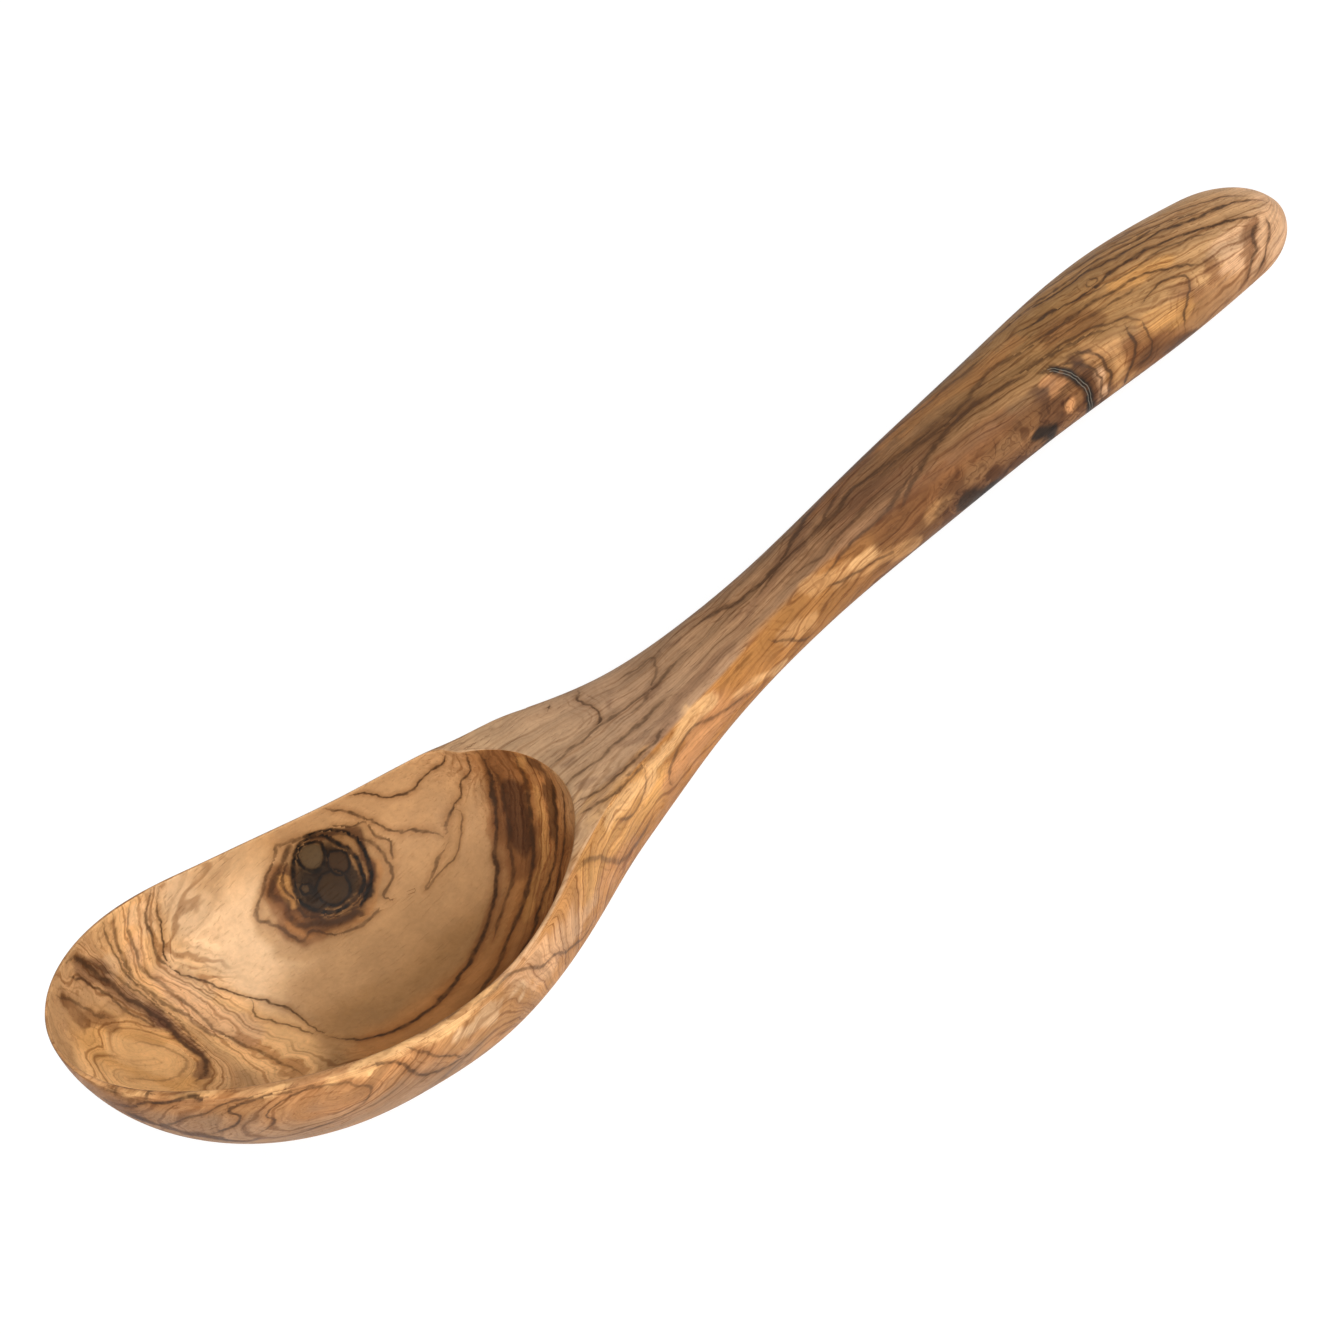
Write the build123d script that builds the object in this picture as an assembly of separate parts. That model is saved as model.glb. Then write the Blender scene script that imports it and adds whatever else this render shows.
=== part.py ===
from build123d import *
import os
import numpy as np

# A deep cooking spoon carved from one blank of olive wood, lying on a table as it rests.
# X runs from the bowl's tip to the handle's end, Y across the spoon, and Z up from the table.
# Lengths are in millimetres. A name that ends in share or shares holds plain fractions.

# Lengths along the spoon, from the bowl's tip unless the name says otherwise
overall_length = 300.0
widest_from_tip = 44.0
heel_from_tip = 100.0
hollow_widest_from_tip = 44.7
hollow_end_from_tip = 104.2
neck_from_tip = 166.4
swell_from_tip = 212.0
grip_from_tip = 258.7
tip_round_length = 37.5
end_round_length = 15.4

# Widths across the spoon
bowl_width = 66.5
neck_width = 16.1
grip_width = 28.9
end_width = 19.0

# Heights of the upper line above the table: the rim over the bowl, then the handle's crown
tip_height = 55.0
land_height = 30.1
neck_height = 27.0
swell_height = 26.5
grip_height = 22.7
end_height = 14.0

# Thickness from the upper line down to the underside
bowl_depth = 29.1
neck_thickness = 17.4
swell_thickness = 17.6
grip_thickness = 16.5
end_thickness = 15.1

# The hollow of the bowl
rim_thickness = 3.05
floor_thickness = 4.5
hollow_tip_round_length = 34.0
hollow_back_round_length = 42.0

# The sanded flat under the heel that the bowl rests on, and how far the cutters run past the wood
rest_flat_depth = 0.25
cutter_overrun = 6.0
cutter_rim_overlap = 0.8

# Points of the lines between the named places: share of the way, share of the change of size
rim_fall_shares = [(0.24, 0.358), (0.48, 0.786), (0.72, 1.02)]
land_fall_shares = [(0.35, 0.942), (0.70, 1.164)]
flare_shares = [(0.13, 0.036), (0.28, 0.221), (0.40, 0.445), (0.53, 0.707), (0.65, 0.861), (0.81, 0.957)]
swell_shares = [(0.30, 0.25), (0.64, 0.60)]
rise_shares = [(0.25, 0.245), (0.50, 0.745)]
# Thickness of the bowl ahead of the heel: share of the way from the tip, share of the bowl's depth
bow_depth_shares = [(0.0, 1.024), (0.20, 1.056), (0.45, 0.992), (0.75, 0.938)]

# How square each outline is: 0.55 gives an ellipse, and near 1 a box
land_fullness_share = 0.90
shoulder_fullness_share = 0.78
crown_fullness_share = 0.645
bowl_fullness_share = 0.63
heel_fullness_share = 0.74
belly_fullness_share = 0.66
hollow_fullness_share = 0.62
# Level of the handle's widest line above its underside, as a share of its thickness
waterline_share = 0.467
# Exponents of the rounded ends, 2 for an ellipse
plan_power = 2.04
hollow_tip_power = 1.975
hollow_back_power = 2.15
round_power = 2.2

# How many cross sections shape each stretch, and the angle round an end where they start
tip_section_count = 7
bowl_section_count = 6
handle_section_count = 16
end_section_count = 6
hollow_section_count = 21
heel_place_count = 40
first_section_angle = 2.0


def smooth_line(points, flat_start=False):
    """A cubic spline through points, as a function of the place along the spoon."""
    x, y = np.array(points, float).T
    count = len(x)
    step = np.diff(x)
    slope = np.diff(y) / step
    matrix = np.zeros((count, count))
    right = np.zeros(count)
    for i in range(1, count - 1):
        matrix[i, i - 1 : i + 2] = step[i - 1], 2 * (step[i - 1] + step[i]), step[i]
        right[i] = 6 * (slope[i] - slope[i - 1])
    matrix[0, 0] = matrix[-1, -1] = 1
    if flat_start:
        matrix[0, :2] = 2 * step[0], step[0]
        right[0] = 6 * slope[0]
    bend = np.linalg.solve(matrix, right)

    def at(place):
        i = int(np.clip(np.searchsorted(x, place) - 1, 0, count - 2))
        ahead, behind, h = x[i + 1] - place, place - x[i], step[i]
        curved = (bend[i] * ahead**3 + bend[i + 1] * behind**3) / (6 * h)
        first = (y[i] / h - bend[i] * h / 6) * ahead
        second = (y[i + 1] / h - bend[i + 1] * h / 6) * behind
        return float(curved + first + second)

    return at


def closure(share, power):
    """How open a rounded end still is: 1 where the share is 0, and 0 where it is 1."""
    return (1 - min(max(share, 0.0), 1.0) ** power) ** (1 / power)


def ease(share):
    """A smooth step from 0 to 1."""
    share = min(max(share, 0.0), 1.0)
    return share * share * (3 - 2 * share)


def between(low, high, share):
    """The value that lies a share of the way from low to high."""
    return low + share * (high - low)


def points_between(start, end, shares):
    """Points of a line between two of its points, each a place and a size."""
    return [
        (between(start[0], end[0], way), between(start[1], end[1], change)) for way, change in shares
    ]


widest_point = (widest_from_tip, bowl_width / 2)
waist_point = (neck_from_tip, neck_width / 2)
grip_point = (grip_from_tip, grip_width / 2)
half_width_line = smooth_line(
    [
        widest_point,
        *points_between(widest_point, waist_point, flare_shares),
        waist_point,
        *points_between(waist_point, grip_point, swell_shares),
        grip_point,
        (overall_length, end_width / 2),
    ],
    flat_start=True,
)
tip_point = (0.0, tip_height)
land_point = (hollow_end_from_tip, land_height)
upper_line = smooth_line(
    [
        tip_point,
        *points_between(tip_point, land_point, rim_fall_shares),
        land_point,
        *points_between(land_point, (neck_from_tip, neck_height), land_fall_shares),
        (neck_from_tip, neck_height),
        (swell_from_tip, swell_height),
        (grip_from_tip, grip_height),
        (overall_length, end_height),
    ]
)
heel_point = (heel_from_tip, bowl_depth)
nape_point = (neck_from_tip, neck_thickness)
thickness_line = smooth_line(
    [
        *[(way * heel_from_tip, share * bowl_depth) for way, share in bow_depth_shares],
        heel_point,
        *points_between(heel_point, nape_point, rise_shares),
        nape_point,
        (swell_from_tip, swell_thickness),
        (grip_from_tip, grip_thickness),
        (overall_length, end_thickness),
    ]
)
end_round_start = overall_length - end_round_length


def blank_sizes(place):
    """Half width, widest level, crown level and underside level of the whole spoon at one place."""
    in_plan = closure(1 - place / widest_from_tip, plan_power)
    at_tip = closure(1 - place / tip_round_length, round_power)
    at_end = closure((place - end_round_start) / end_round_length, round_power)
    half_width = half_width_line(max(place, widest_from_tip)) * in_plan * at_end
    thickness = thickness_line(place)
    into_neck = ease((place - hollow_end_from_tip) / (neck_from_tip - hollow_end_from_tip))
    drop = (1 - waterline_share) * thickness * into_neck
    level = upper_line(place) - drop
    return half_width, level, level + drop * at_tip * at_end, level - (thickness - drop) * at_tip * at_end


def blank_fullness(place):
    """Squareness of the top and of the underside of the whole spoon at one place."""
    into_neck = ease((place - hollow_end_from_tip) / (neck_from_tip - hollow_end_from_tip))
    along_handle = ease((place - neck_from_tip) / (grip_from_tip - neck_from_tip))
    to_heel = ease((place - widest_from_tip) / (heel_from_tip - widest_from_tip))
    past_heel = ease((place - heel_from_tip) / (neck_from_tip - heel_from_tip))
    shoulder = between(shoulder_fullness_share, crown_fullness_share, along_handle)
    bowl = between(bowl_fullness_share, heel_fullness_share, to_heel)
    return between(land_fullness_share, shoulder, into_neck), between(bowl, belly_fullness_share, past_heel)


def quarter(place, side, half_width, level, height, fullness):
    """The points of a quarter curve from the widest point to the middle, square to Y and Z."""
    return [
        (place, side * half_width, level),
        (place, side * half_width, between(level, height, fullness)),
        (place, side * half_width * fullness, height),
        (place, 0, height),
    ]


def outline(place, half_width, level, top, bottom, top_fullness, under_fullness):
    """The closed outline of one cross section, made of four quarter curves."""
    return Wire(
        [
            Bezier(*quarter(place, 1, half_width, level, top, top_fullness)),
            Bezier(*reversed(quarter(place, -1, half_width, level, top, top_fullness))),
            Bezier(*quarter(place, -1, half_width, level, bottom, under_fullness)),
            Bezier(*reversed(quarter(place, 1, half_width, level, bottom, under_fullness))),
        ]
    )


def rounded_places(tip, full, count):
    """Places from a rounded tip to where it is full, closer together towards the tip."""
    angles = np.radians(np.linspace(first_section_angle, 90, count))
    return [between(full, tip, float(np.cos(angle))) for angle in angles]


def section(place):
    """The outline of the spoon at one place, before the bowl is hollowed."""
    return outline(place, *blank_sizes(place), *blank_fullness(place))


def carve_blank():
    """The whole spoon before the bowl is hollowed: a smooth bowl, and a handle in short straight facets."""
    bowl_places = [
        *rounded_places(0.0, widest_from_tip, tip_section_count),
        *np.linspace(widest_from_tip, hollow_end_from_tip, bowl_section_count)[1:],
    ]
    handle_places = [
        *np.linspace(hollow_end_from_tip, end_round_start, handle_section_count)[:-1],
        *reversed(rounded_places(overall_length, end_round_start, end_section_count)),
    ]
    bowl = Solid.make_loft([section(float(place)) for place in bowl_places])
    handle = Solid.make_loft([section(float(place)) for place in handle_places], ruled=True)
    return bowl + handle


def hollow_cutter():
    """What the gouge takes out of the bowl, closed above the rim by a low dome."""
    widest = half_width_line(hollow_widest_from_tip) - rim_thickness
    sections = []
    for angle in np.radians(np.linspace(first_section_angle, 180 - first_section_angle, hollow_section_count)):
        reach = float(np.cos(angle))
        far_end, power = (
            (rim_thickness, hollow_tip_power) if reach > 0 else (hollow_end_from_tip, hollow_back_power)
        )
        place = between(hollow_widest_from_tip, far_end, abs(reach))
        half_width = widest * closure(abs(reach), power)
        at_tip = closure(1 - (place - rim_thickness) / hollow_tip_round_length, round_power)
        at_back = closure(1 - (hollow_end_from_tip - place) / hollow_back_round_length, round_power)
        rim = upper_line(place)
        depth = (thickness_line(place) - floor_thickness) * at_tip * at_back
        level = rim + cutter_rim_overlap
        top = level + cutter_overrun * at_tip * at_back
        fullness = hollow_fullness_share
        sections.append(outline(place, half_width, level, top, rim - depth, fullness, fullness))
    return Solid.make_loft(sections)


blank = carve_blank()
spoon = blank - hollow_cutter()

# The underside is sanded on a flat board, which leaves a flat under the heel and one under the handle's end
heel_places = np.linspace(widest_from_tip, neck_from_tip, heel_place_count)
table_level = min(blank_sizes(float(place))[3] for place in heel_places) + rest_flat_depth
sanded_off = Pos(overall_length / 2, 0, table_level - cutter_overrun / 2) * Box(
    overall_length + cutter_overrun, bowl_width, cutter_overrun
)
spoon = Pos(-overall_length / 2, 0, -table_level) * (spoon - sanded_off)

os.makedirs("parts", exist_ok=True)
export_step(spoon, "parts/spoon.step")
print("volume", round(spoon.volume), "solids", len(spoon.solids()), "valid", spoon.is_valid)
print(spoon.bounding_box())
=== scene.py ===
"""A deep cooking spoon of olive wood: its carved shape, its oiled wood and the light it stands in."""

import math

import bpy
import numpy as np
from bpy.props import FloatProperty, FloatVectorProperty, PointerProperty
from mathutils import Matrix, Vector


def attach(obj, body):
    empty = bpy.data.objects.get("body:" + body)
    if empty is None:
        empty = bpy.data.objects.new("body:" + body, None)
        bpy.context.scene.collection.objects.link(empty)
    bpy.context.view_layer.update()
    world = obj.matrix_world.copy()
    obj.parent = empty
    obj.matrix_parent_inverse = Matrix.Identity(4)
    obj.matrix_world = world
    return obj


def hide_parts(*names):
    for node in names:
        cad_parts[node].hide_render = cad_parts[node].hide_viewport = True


bl_info = {
    "name": "Olive Wood Spoon",
    "version": (1, 0, 0),
    "blender": (4, 5, 0),
    "location": "View3D > Sidebar > Spoon",
    "description": "Carves, oils and lights a deep cooking spoon of olive wood",
    "category": "Add Mesh",
}

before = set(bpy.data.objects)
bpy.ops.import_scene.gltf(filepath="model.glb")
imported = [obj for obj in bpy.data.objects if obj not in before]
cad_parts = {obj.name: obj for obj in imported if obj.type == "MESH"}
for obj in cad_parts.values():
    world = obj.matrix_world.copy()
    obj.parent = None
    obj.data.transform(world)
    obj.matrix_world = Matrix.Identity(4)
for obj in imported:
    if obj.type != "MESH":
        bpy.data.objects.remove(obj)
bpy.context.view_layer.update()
SPOON_NAME = "olive_wood_spoon"
MM = 0.001
# Keeps a division from meeting 0, and the shortest rounding that is worth making, in millimetres
TINY = 1e-9
SHORTEST_ROUND = 1e-6

# Points of the carver's lines between the named places: share of the way, share of the change of size
RIM_FALL = [(0.24, 0.358), (0.48, 0.786), (0.72, 1.02)]
LAND_FALL = [(0.35, 0.942), (0.70, 1.164)]
FLARE = [(0.13, 0.036), (0.28, 0.221), (0.40, 0.445), (0.53, 0.707), (0.65, 0.861), (0.81, 0.957)]
SWELL = [(0.30, 0.25), (0.64, 0.60)]
RISE = [(0.25, 0.245), (0.50, 0.745)]
BOW_DEPTH = [(0.0, 1.024), (0.20, 1.056), (0.45, 0.992), (0.75, 0.938)]

# Rows of points along the skin: round the tip, over the bowl, along the handle and round its end
TIP_ROWS = 80
BOWL_ROWS = 100
HANDLE_ROWS = 240
END_ROWS = 40
JOINT_ROW = TIP_ROWS + BOWL_ROWS
# How far behind the hollow the bowl's rows end and the handle's begin, in millimetres
JOINT_BEHIND_HOLLOW = 8.0
# Columns from the widest line to the middle, and those next to the rim that its rolled edge may take
UNDER_COLUMNS = 66
CROWN_COLUMNS = 36
ROLL_COLUMNS = 14
# Places under the bowl that are tried for its lowest point, and steps that halve a search
HEEL_PLACES = 40
HALVINGS = 40
# Rings from the bowl's outer edge over the rim, and down the hollow, as shares of the way
OVER_RIM = [*np.linspace(0, 0.5, 9), *(0.5 + 0.5 * np.sin(np.radians(np.linspace(0, 90, 11)[1:-1])))]
DOWN_HOLLOW = [0, 0.002, 0.004, 0.0065, 0.0095, 0.013, 0.018, 0.024, *np.linspace(0.032, 1, 70)]

# Each lamp of the stage: its size and its distance in metres, and its direction round and up in degrees
LAMPS = {"key": (0.9, 1.5, -42.0, 40.0), "fill": (1.0, 1.5, -135.0, 32.0)}
# The floor's half width, its gap below the spoon and the nearest that the camera sees, in metres
FLOOR_REACH, FLOOR_GAP, NEAREST_SEEN = 1.5, 0.0001, 0.01
# The floor's shade where it lights the spoon, its shade where it is seen, and its lift towards white there
FLOOR_SHADE, FLOOR_SEEN_SHADE, FLOOR_LIFT = 0.8, 0.3, 0.83
# The camera's sensor, in millimetres
SENSOR_WIDTH = 36.0


def linear(screen_colour):
    """A screen colour from 0 to 255 as linear light."""
    v = np.array(screen_colour, float) / 255
    return np.where(v > 0.04, ((v + 0.055) / 1.055) ** 2.4, v / 12.92)


def grey(shade):
    """A shade between black and white, as linear light."""
    return (shade, shade, shade, 1)


def length(label, about, millimetres):
    """A size that the sidebar shows as a length."""
    return FloatProperty(name=label, description=about, default=millimetres * MM, min=0.0, unit="LENGTH")


def share(label, about, value, most=1.0):
    """A plain fraction that the sidebar shows as a slider."""
    return FloatProperty(
        name=label, description=about, default=value, min=0.0, max=most, subtype="FACTOR"
    )


def colour(label, about, red, green, blue):
    """A colour of the wood, written as it looks on a screen, from 0 to 255."""
    light = linear((red, green, blue)).tolist()
    return FloatVectorProperty(name=label, description=about, default=light, size=3, subtype="COLOR")


def angle(label, about, degrees):
    """An angle of the camera."""
    return FloatProperty(name=label, description=about, default=math.radians(degrees), subtype="ANGLE")


def lamp_power(label, about, watts):
    """How bright a lamp is."""
    return FloatProperty(name=label, description=about, default=watts, min=0.0, unit="POWER")


class SpoonSizes(bpy.types.PropertyGroup):
    """The real sizes that the spoon is carved to."""

    overall_length: length("Overall length", "From the bowl's tip to the handle's end", 300.0)
    widest_from_tip: length("Widest place", "From the tip to the bowl's widest place", 44.0)
    heel_from_tip: length("Heel", "From the tip to the heel that the bowl rests on", 100.0)
    hollow_widest_from_tip: length("Hollow's widest place", "From the tip to it", 44.7)
    hollow_end_from_tip: length("Hollow's end", "From the tip to the hollow's back edge", 104.2)
    neck_from_tip: length("Neck", "From the tip to the narrowest place", 166.4)
    swell_from_tip: length("Swell", "From the tip to where the handle swells", 212.0)
    grip_from_tip: length("Grip", "From the tip to the handle's widest place", 258.7)
    tip_round_length: length("Tip's rounding", "How far the tip's underside rounds", 37.5)
    end_round_length: length("End's rounding", "How far the handle's end rounds", 15.4)
    bowl_width: length("Bowl width", "Across the outside of the bowl", 66.5)
    neck_width: length("Neck width", "Across the narrowest place", 16.1)
    grip_width: length("Grip width", "Across the handle's widest place", 28.9)
    end_width: length("End width", "Across the handle's end before it rounds", 19.0)
    tip_height: length("Tip height", "The rim's line at the tip", 55.0)
    land_height: length("Land height", "The upper line behind the hollow", 30.1)
    neck_height: length("Neck height", "The upper line at the neck", 27.0)
    swell_height: length("Swell height", "The upper line at the swell", 26.5)
    grip_height: length("Grip height", "The upper line at the grip", 22.7)
    end_height: length("End height", "The upper line at the end", 14.0)
    bowl_depth: length("Bowl depth", "Outside depth of the bowl at the heel", 29.1)
    neck_thickness: length("Neck thickness", "Upper line to underside at the neck", 17.4)
    swell_thickness: length("Swell thickness", "Upper line to underside at the swell", 17.6)
    grip_thickness: length("Grip thickness", "Upper line to underside at the grip", 16.5)
    end_thickness: length("End thickness", "Upper line to underside at the end", 15.1)
    rim_thickness: length("Rim thickness", "Wood between the hollow and the outside", 3.05)
    floor_thickness: length("Floor thickness", "Wood under the hollow", 4.5)
    hollow_tip_round: length("Hollow's front rounding", "How far the hollow's front curves down", 34.0)
    hollow_back_round: length("Hollow's back rounding", "How far the hollow's back curves down", 42.0)
    rest_flat_depth: length("Rest flat", "Depth of the flat sanded under the heel", 0.25)
    thin_rim: length("Thin rim", "Thickness that the rim is sanded to on the left and the tip", 0.8)
    edge_round: length("Eased edge", "How far the hollow's edge is sanded round at the land", 0.45)
    inner_round: length("Eased rim inside", "How far the hollow's edge is sanded round at the rim", 0.8)
    rim_round: length("Eased rim outside", "How far the rim's outer edge is rounded on the left", 0.6)
    roll_width: length("Roll width", "How far over the rim its right side is rolled", 2.6)
    roll_depth: length("Roll depth", "How far down the outside its right side is rolled", 5.0)
    land_fullness: share("Land fullness", "Squareness of the land's section", 0.90)
    shoulder_fullness: share("Shoulder fullness", "Squareness of the neck's top", 0.78)
    crown_fullness: share("Crown fullness", "Squareness of the handle's top", 0.645)
    bowl_fullness: share("Bowl fullness", "Squareness under the widest place", 0.63)
    heel_fullness: share("Heel fullness", "Squareness under the heel", 0.74)
    belly_fullness: share("Belly fullness", "Squareness of the handle's underside", 0.66)
    hollow_fullness: share("Hollow fullness", "Squareness of the hollow", 0.62)
    waterline: share("Waterline", "Level of the handle's widest line in its thickness", 0.467)
    plan_power: share("Plan exponent", "Exponent of the tip's outline, 2 for an ellipse", 2.04, 4.0)
    hollow_tip_power: share("Hollow's front exponent", "Exponent of its outline", 1.975, 4.0)
    hollow_back_power: share("Hollow's back exponent", "Exponent of its outline", 2.15, 4.0)
    round_power: share("Rounding exponent", "Exponent of the rounded ends in profile", 2.2, 4.0)


class WoodFinish(bpy.types.PropertyGroup):
    """How the olive wood is coloured and finished."""

    ink: colour("Vein colour", "The darkest veins of the figure", 62, 40, 23)
    ember: colour("Knot colour", "The black lines of the knot and the crack", 24, 17, 11)
    grain: share("Grain", "Contrast of the fine grain", 0.9)
    roughness: share("Roughness", "Roughness of the sanded wood", 0.54)
    gloss: share("Gloss", "How strongly the sanded wood shines", 0.13)
    oil: share("Oil", "How much the oil shines over the wood", 0.015)
    oil_roughness: share("Oil roughness", "How dull the shine of the oil is", 0.35)
    relief: length("Relief", "Height of the open grain", 0.06)


class StageSettings(bpy.types.PropertyGroup):
    """The camera and the studio light."""

    azimuth: angle("Camera azimuth", "How far the camera stands round the spoon", -28.16)
    elevation: angle("Camera elevation", "How steeply the camera looks down", 46.7)
    roll: angle("Camera roll", "How far the camera is turned about its line of sight", 21.24)
    distance: length("Camera distance", "From the camera to the spoon's middle", 854.8)
    aim_height: length("Aim height", "The camera's aim above the table", 20.0)
    aim_left: length("Aim to the left", "How far left of the spoon's middle the camera aims", 12.03)
    aim_down: length("Aim downwards", "How far below the spoon's middle the camera aims", 5.9)
    lens: FloatProperty(
        name="Lens", description="Focal length on a 36 mm sensor, in millimetres", default=124.1, min=1.0
    )
    key_power: lamp_power("Key light", "The lamp at the front right", 15.8)
    fill_power: lamp_power("Fill light", "The lamp at the front left", 18.5)
    sky_strength: FloatProperty(
        name="Sky", description="How bright the sky is, where 1 is white", default=0.2, min=0.0
    )


def smooth_line(points, flat_start=False):
    """A cubic spline through points, as a function of the place along the spoon."""
    x, y = np.array(points, float).T
    count = len(x)
    step = np.diff(x)
    slope = np.diff(y) / step
    matrix = np.zeros((count, count))
    right = np.zeros(count)
    for i in range(1, count - 1):
        matrix[i, i - 1 : i + 2] = step[i - 1], 2 * (step[i - 1] + step[i]), step[i]
        right[i] = 6 * (slope[i] - slope[i - 1])
    matrix[0, 0] = matrix[-1, -1] = 1
    if flat_start:
        matrix[0, :2] = 2 * step[0], step[0]
        right[0] = 6 * slope[0]
    bend = np.linalg.solve(matrix, right)

    def at(place):
        place = np.asarray(place, float)
        i = np.clip(np.searchsorted(x, place) - 1, 0, count - 2)
        ahead, behind, h = x[i + 1] - place, place - x[i], step[i]
        curved = (bend[i] * ahead**3 + bend[i + 1] * behind**3) / (6 * h)
        first = (y[i] / h - bend[i] * h / 6) * ahead
        second = (y[i + 1] / h - bend[i + 1] * h / 6) * behind
        return curved + first + second

    return at


def closure(share_done, power):
    """How open a rounded end still is: 1 where the share is 0, and 0 where it is 1."""
    return (1 - np.clip(share_done, 0, 1) ** power) ** (1 / power)


def ease(share_done):
    """A smooth step from 0 to 1."""
    s = np.clip(share_done, 0, 1)
    return s * s * (3 - 2 * s)


def rise(value, start, end):
    """A smooth step from 0 at the start value to 1 at the end value, which may be the smaller one."""
    return ease((value - start) / (end - start))


def between(low, high, share_done):
    """The value that lies a share of the way from low to high."""
    return low + share_done * (high - low)


def points_between(start, end, shares):
    """Points of a line between two of its points, each a place and a size."""
    return [
        (between(start[0], end[0], way), between(start[1], end[1], change)) for way, change in shares
    ]


def out_of_centre(t, fullness):
    """Share of the half width along a quarter curve, from 1 at the widest point to 0 at the middle."""
    return 1 - 3 * (1 - fullness) * t**2 + (2 - 3 * fullness) * t**3


def quarter_place(outward, fullness):
    """The place along a quarter curve that lies this share of the half width out, by halving."""
    low, high = np.zeros_like(outward), np.ones_like(outward)
    for _ in range(HALVINGS):
        middle = (low + high) / 2
        still_outside = out_of_centre(middle, fullness) > outward
        low, high = np.where(still_outside, middle, low), np.where(still_outside, high, middle)
    return (low + high) / 2


class CarvedShape:
    """The carver's lines as functions of the place in millimetres from the tip."""

    def __init__(self, sizes):
        for name in sizes.__annotations__:
            value = getattr(sizes, name)
            is_length = sizes.bl_rna.properties[name].unit == "LENGTH"
            setattr(self, name, value / MM if is_length else value)
        self.end_start = self.overall_length - self.end_round_length
        widest = (self.widest_from_tip, self.bowl_width / 2)
        waist = (self.neck_from_tip, self.neck_width / 2)
        grip = (self.grip_from_tip, self.grip_width / 2)
        self.half_width_line = smooth_line(
            [
                widest,
                *points_between(widest, waist, FLARE),
                waist,
                *points_between(waist, grip, SWELL),
                grip,
                (self.overall_length, self.end_width / 2),
            ],
            flat_start=True,
        )
        tip = (0.0, self.tip_height)
        land = (self.hollow_end_from_tip, self.land_height)
        neck = (self.neck_from_tip, self.neck_height)
        self.upper_line = smooth_line(
            [
                tip,
                *points_between(tip, land, RIM_FALL),
                land,
                *points_between(land, neck, LAND_FALL),
                neck,
                (self.swell_from_tip, self.swell_height),
                (self.grip_from_tip, self.grip_height),
                (self.overall_length, self.end_height),
            ]
        )
        heel = (self.heel_from_tip, self.bowl_depth)
        nape = (self.neck_from_tip, self.neck_thickness)
        self.thickness_line = smooth_line(
            [
                *[(way * self.heel_from_tip, part * self.bowl_depth) for way, part in BOW_DEPTH],
                heel,
                *points_between(heel, nape, RISE),
                nape,
                (self.swell_from_tip, self.swell_thickness),
                (self.grip_from_tip, self.grip_thickness),
                (self.overall_length, self.end_thickness),
            ]
        )
        self.hollow_middle = np.array([self.hollow_widest_from_tip, 0.0])
        self.hollow_front = self.hollow_widest_from_tip - self.rim_thickness
        self.hollow_back = self.hollow_end_from_tip - self.hollow_widest_from_tip
        outside = float(self.half_width_line(self.hollow_widest_from_tip))
        self.hollow_half_width = outside - self.rim_thickness
        heel_places = np.linspace(self.widest_from_tip, self.neck_from_tip, HEEL_PLACES)
        self.table_level = self.sections(heel_places)[3].min() + self.rest_flat_depth

    def sections(self, place):
        """Half width, widest level, crown level and underside level at each place."""
        at_tip = closure(1 - place / self.tip_round_length, self.round_power)
        at_end = closure((place - self.end_start) / self.end_round_length, self.round_power)
        in_plan = closure(1 - place / self.widest_from_tip, self.plan_power)
        half_width = self.half_width_line(np.maximum(place, self.widest_from_tip)) * in_plan * at_end
        thickness = self.thickness_line(place)
        drop = (1 - self.waterline) * thickness * self.into_neck(place)
        level = self.upper_line(place) - drop
        crown = level + drop * at_tip * at_end
        underside = level - (thickness - drop) * at_tip * at_end
        return half_width, level, crown, underside

    def into_neck(self, place):
        """0 over the bowl, and 1 from the neck on."""
        return rise(place, self.hollow_end_from_tip, self.neck_from_tip)

    def fullness(self, place):
        """Squareness of the top and of the underside at each place."""
        along_handle = rise(place, self.neck_from_tip, self.grip_from_tip)
        to_heel = rise(place, self.widest_from_tip, self.heel_from_tip)
        past_heel = rise(place, self.heel_from_tip, self.neck_from_tip)
        shoulder = between(self.shoulder_fullness, self.crown_fullness, along_handle)
        bowl = between(self.bowl_fullness, self.heel_fullness, to_heel)
        top = between(self.land_fullness, shoulder, self.into_neck(place))
        return top, between(bowl, self.belly_fullness, past_heel)

    def top_height(self, place, across):
        """Height of the rim, the land and the handle's top over a point of the plan."""
        half_width, level, top, _ = self.sections(place)
        fullness = self.fullness(place)[0]
        outward = np.clip(np.abs(across) / np.maximum(half_width, TINY), 0, 1)
        t = quarter_place(outward, fullness)
        return level + (top - level) * out_of_centre(1 - t, fullness)

    def hollow_reach(self, place):
        """Half width of the hollow's edge at each place."""
        forward = self.hollow_widest_from_tip - place
        front = closure(forward / self.hollow_front, self.hollow_tip_power)
        back = closure(-forward / self.hollow_back, self.hollow_back_power)
        return self.hollow_half_width * np.where(forward > 0, front, back)

    def hollow_height(self, place, across):
        """Height of the hollow's surface over a point of the plan."""
        at_tip = closure(1 - (place - self.rim_thickness) / self.hollow_tip_round, self.round_power)
        from_back = self.hollow_end_from_tip - place
        at_back = closure(1 - from_back / self.hollow_back_round, self.round_power)
        depth = (self.thickness_line(place) - self.floor_thickness) * at_tip * at_back
        outward = np.clip(np.abs(across) / np.maximum(self.hollow_reach(place), TINY), 0, 1)
        t = quarter_place(outward, self.hollow_fullness)
        return self.upper_line(place) - depth * out_of_centre(1 - t, self.hollow_fullness)


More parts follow.
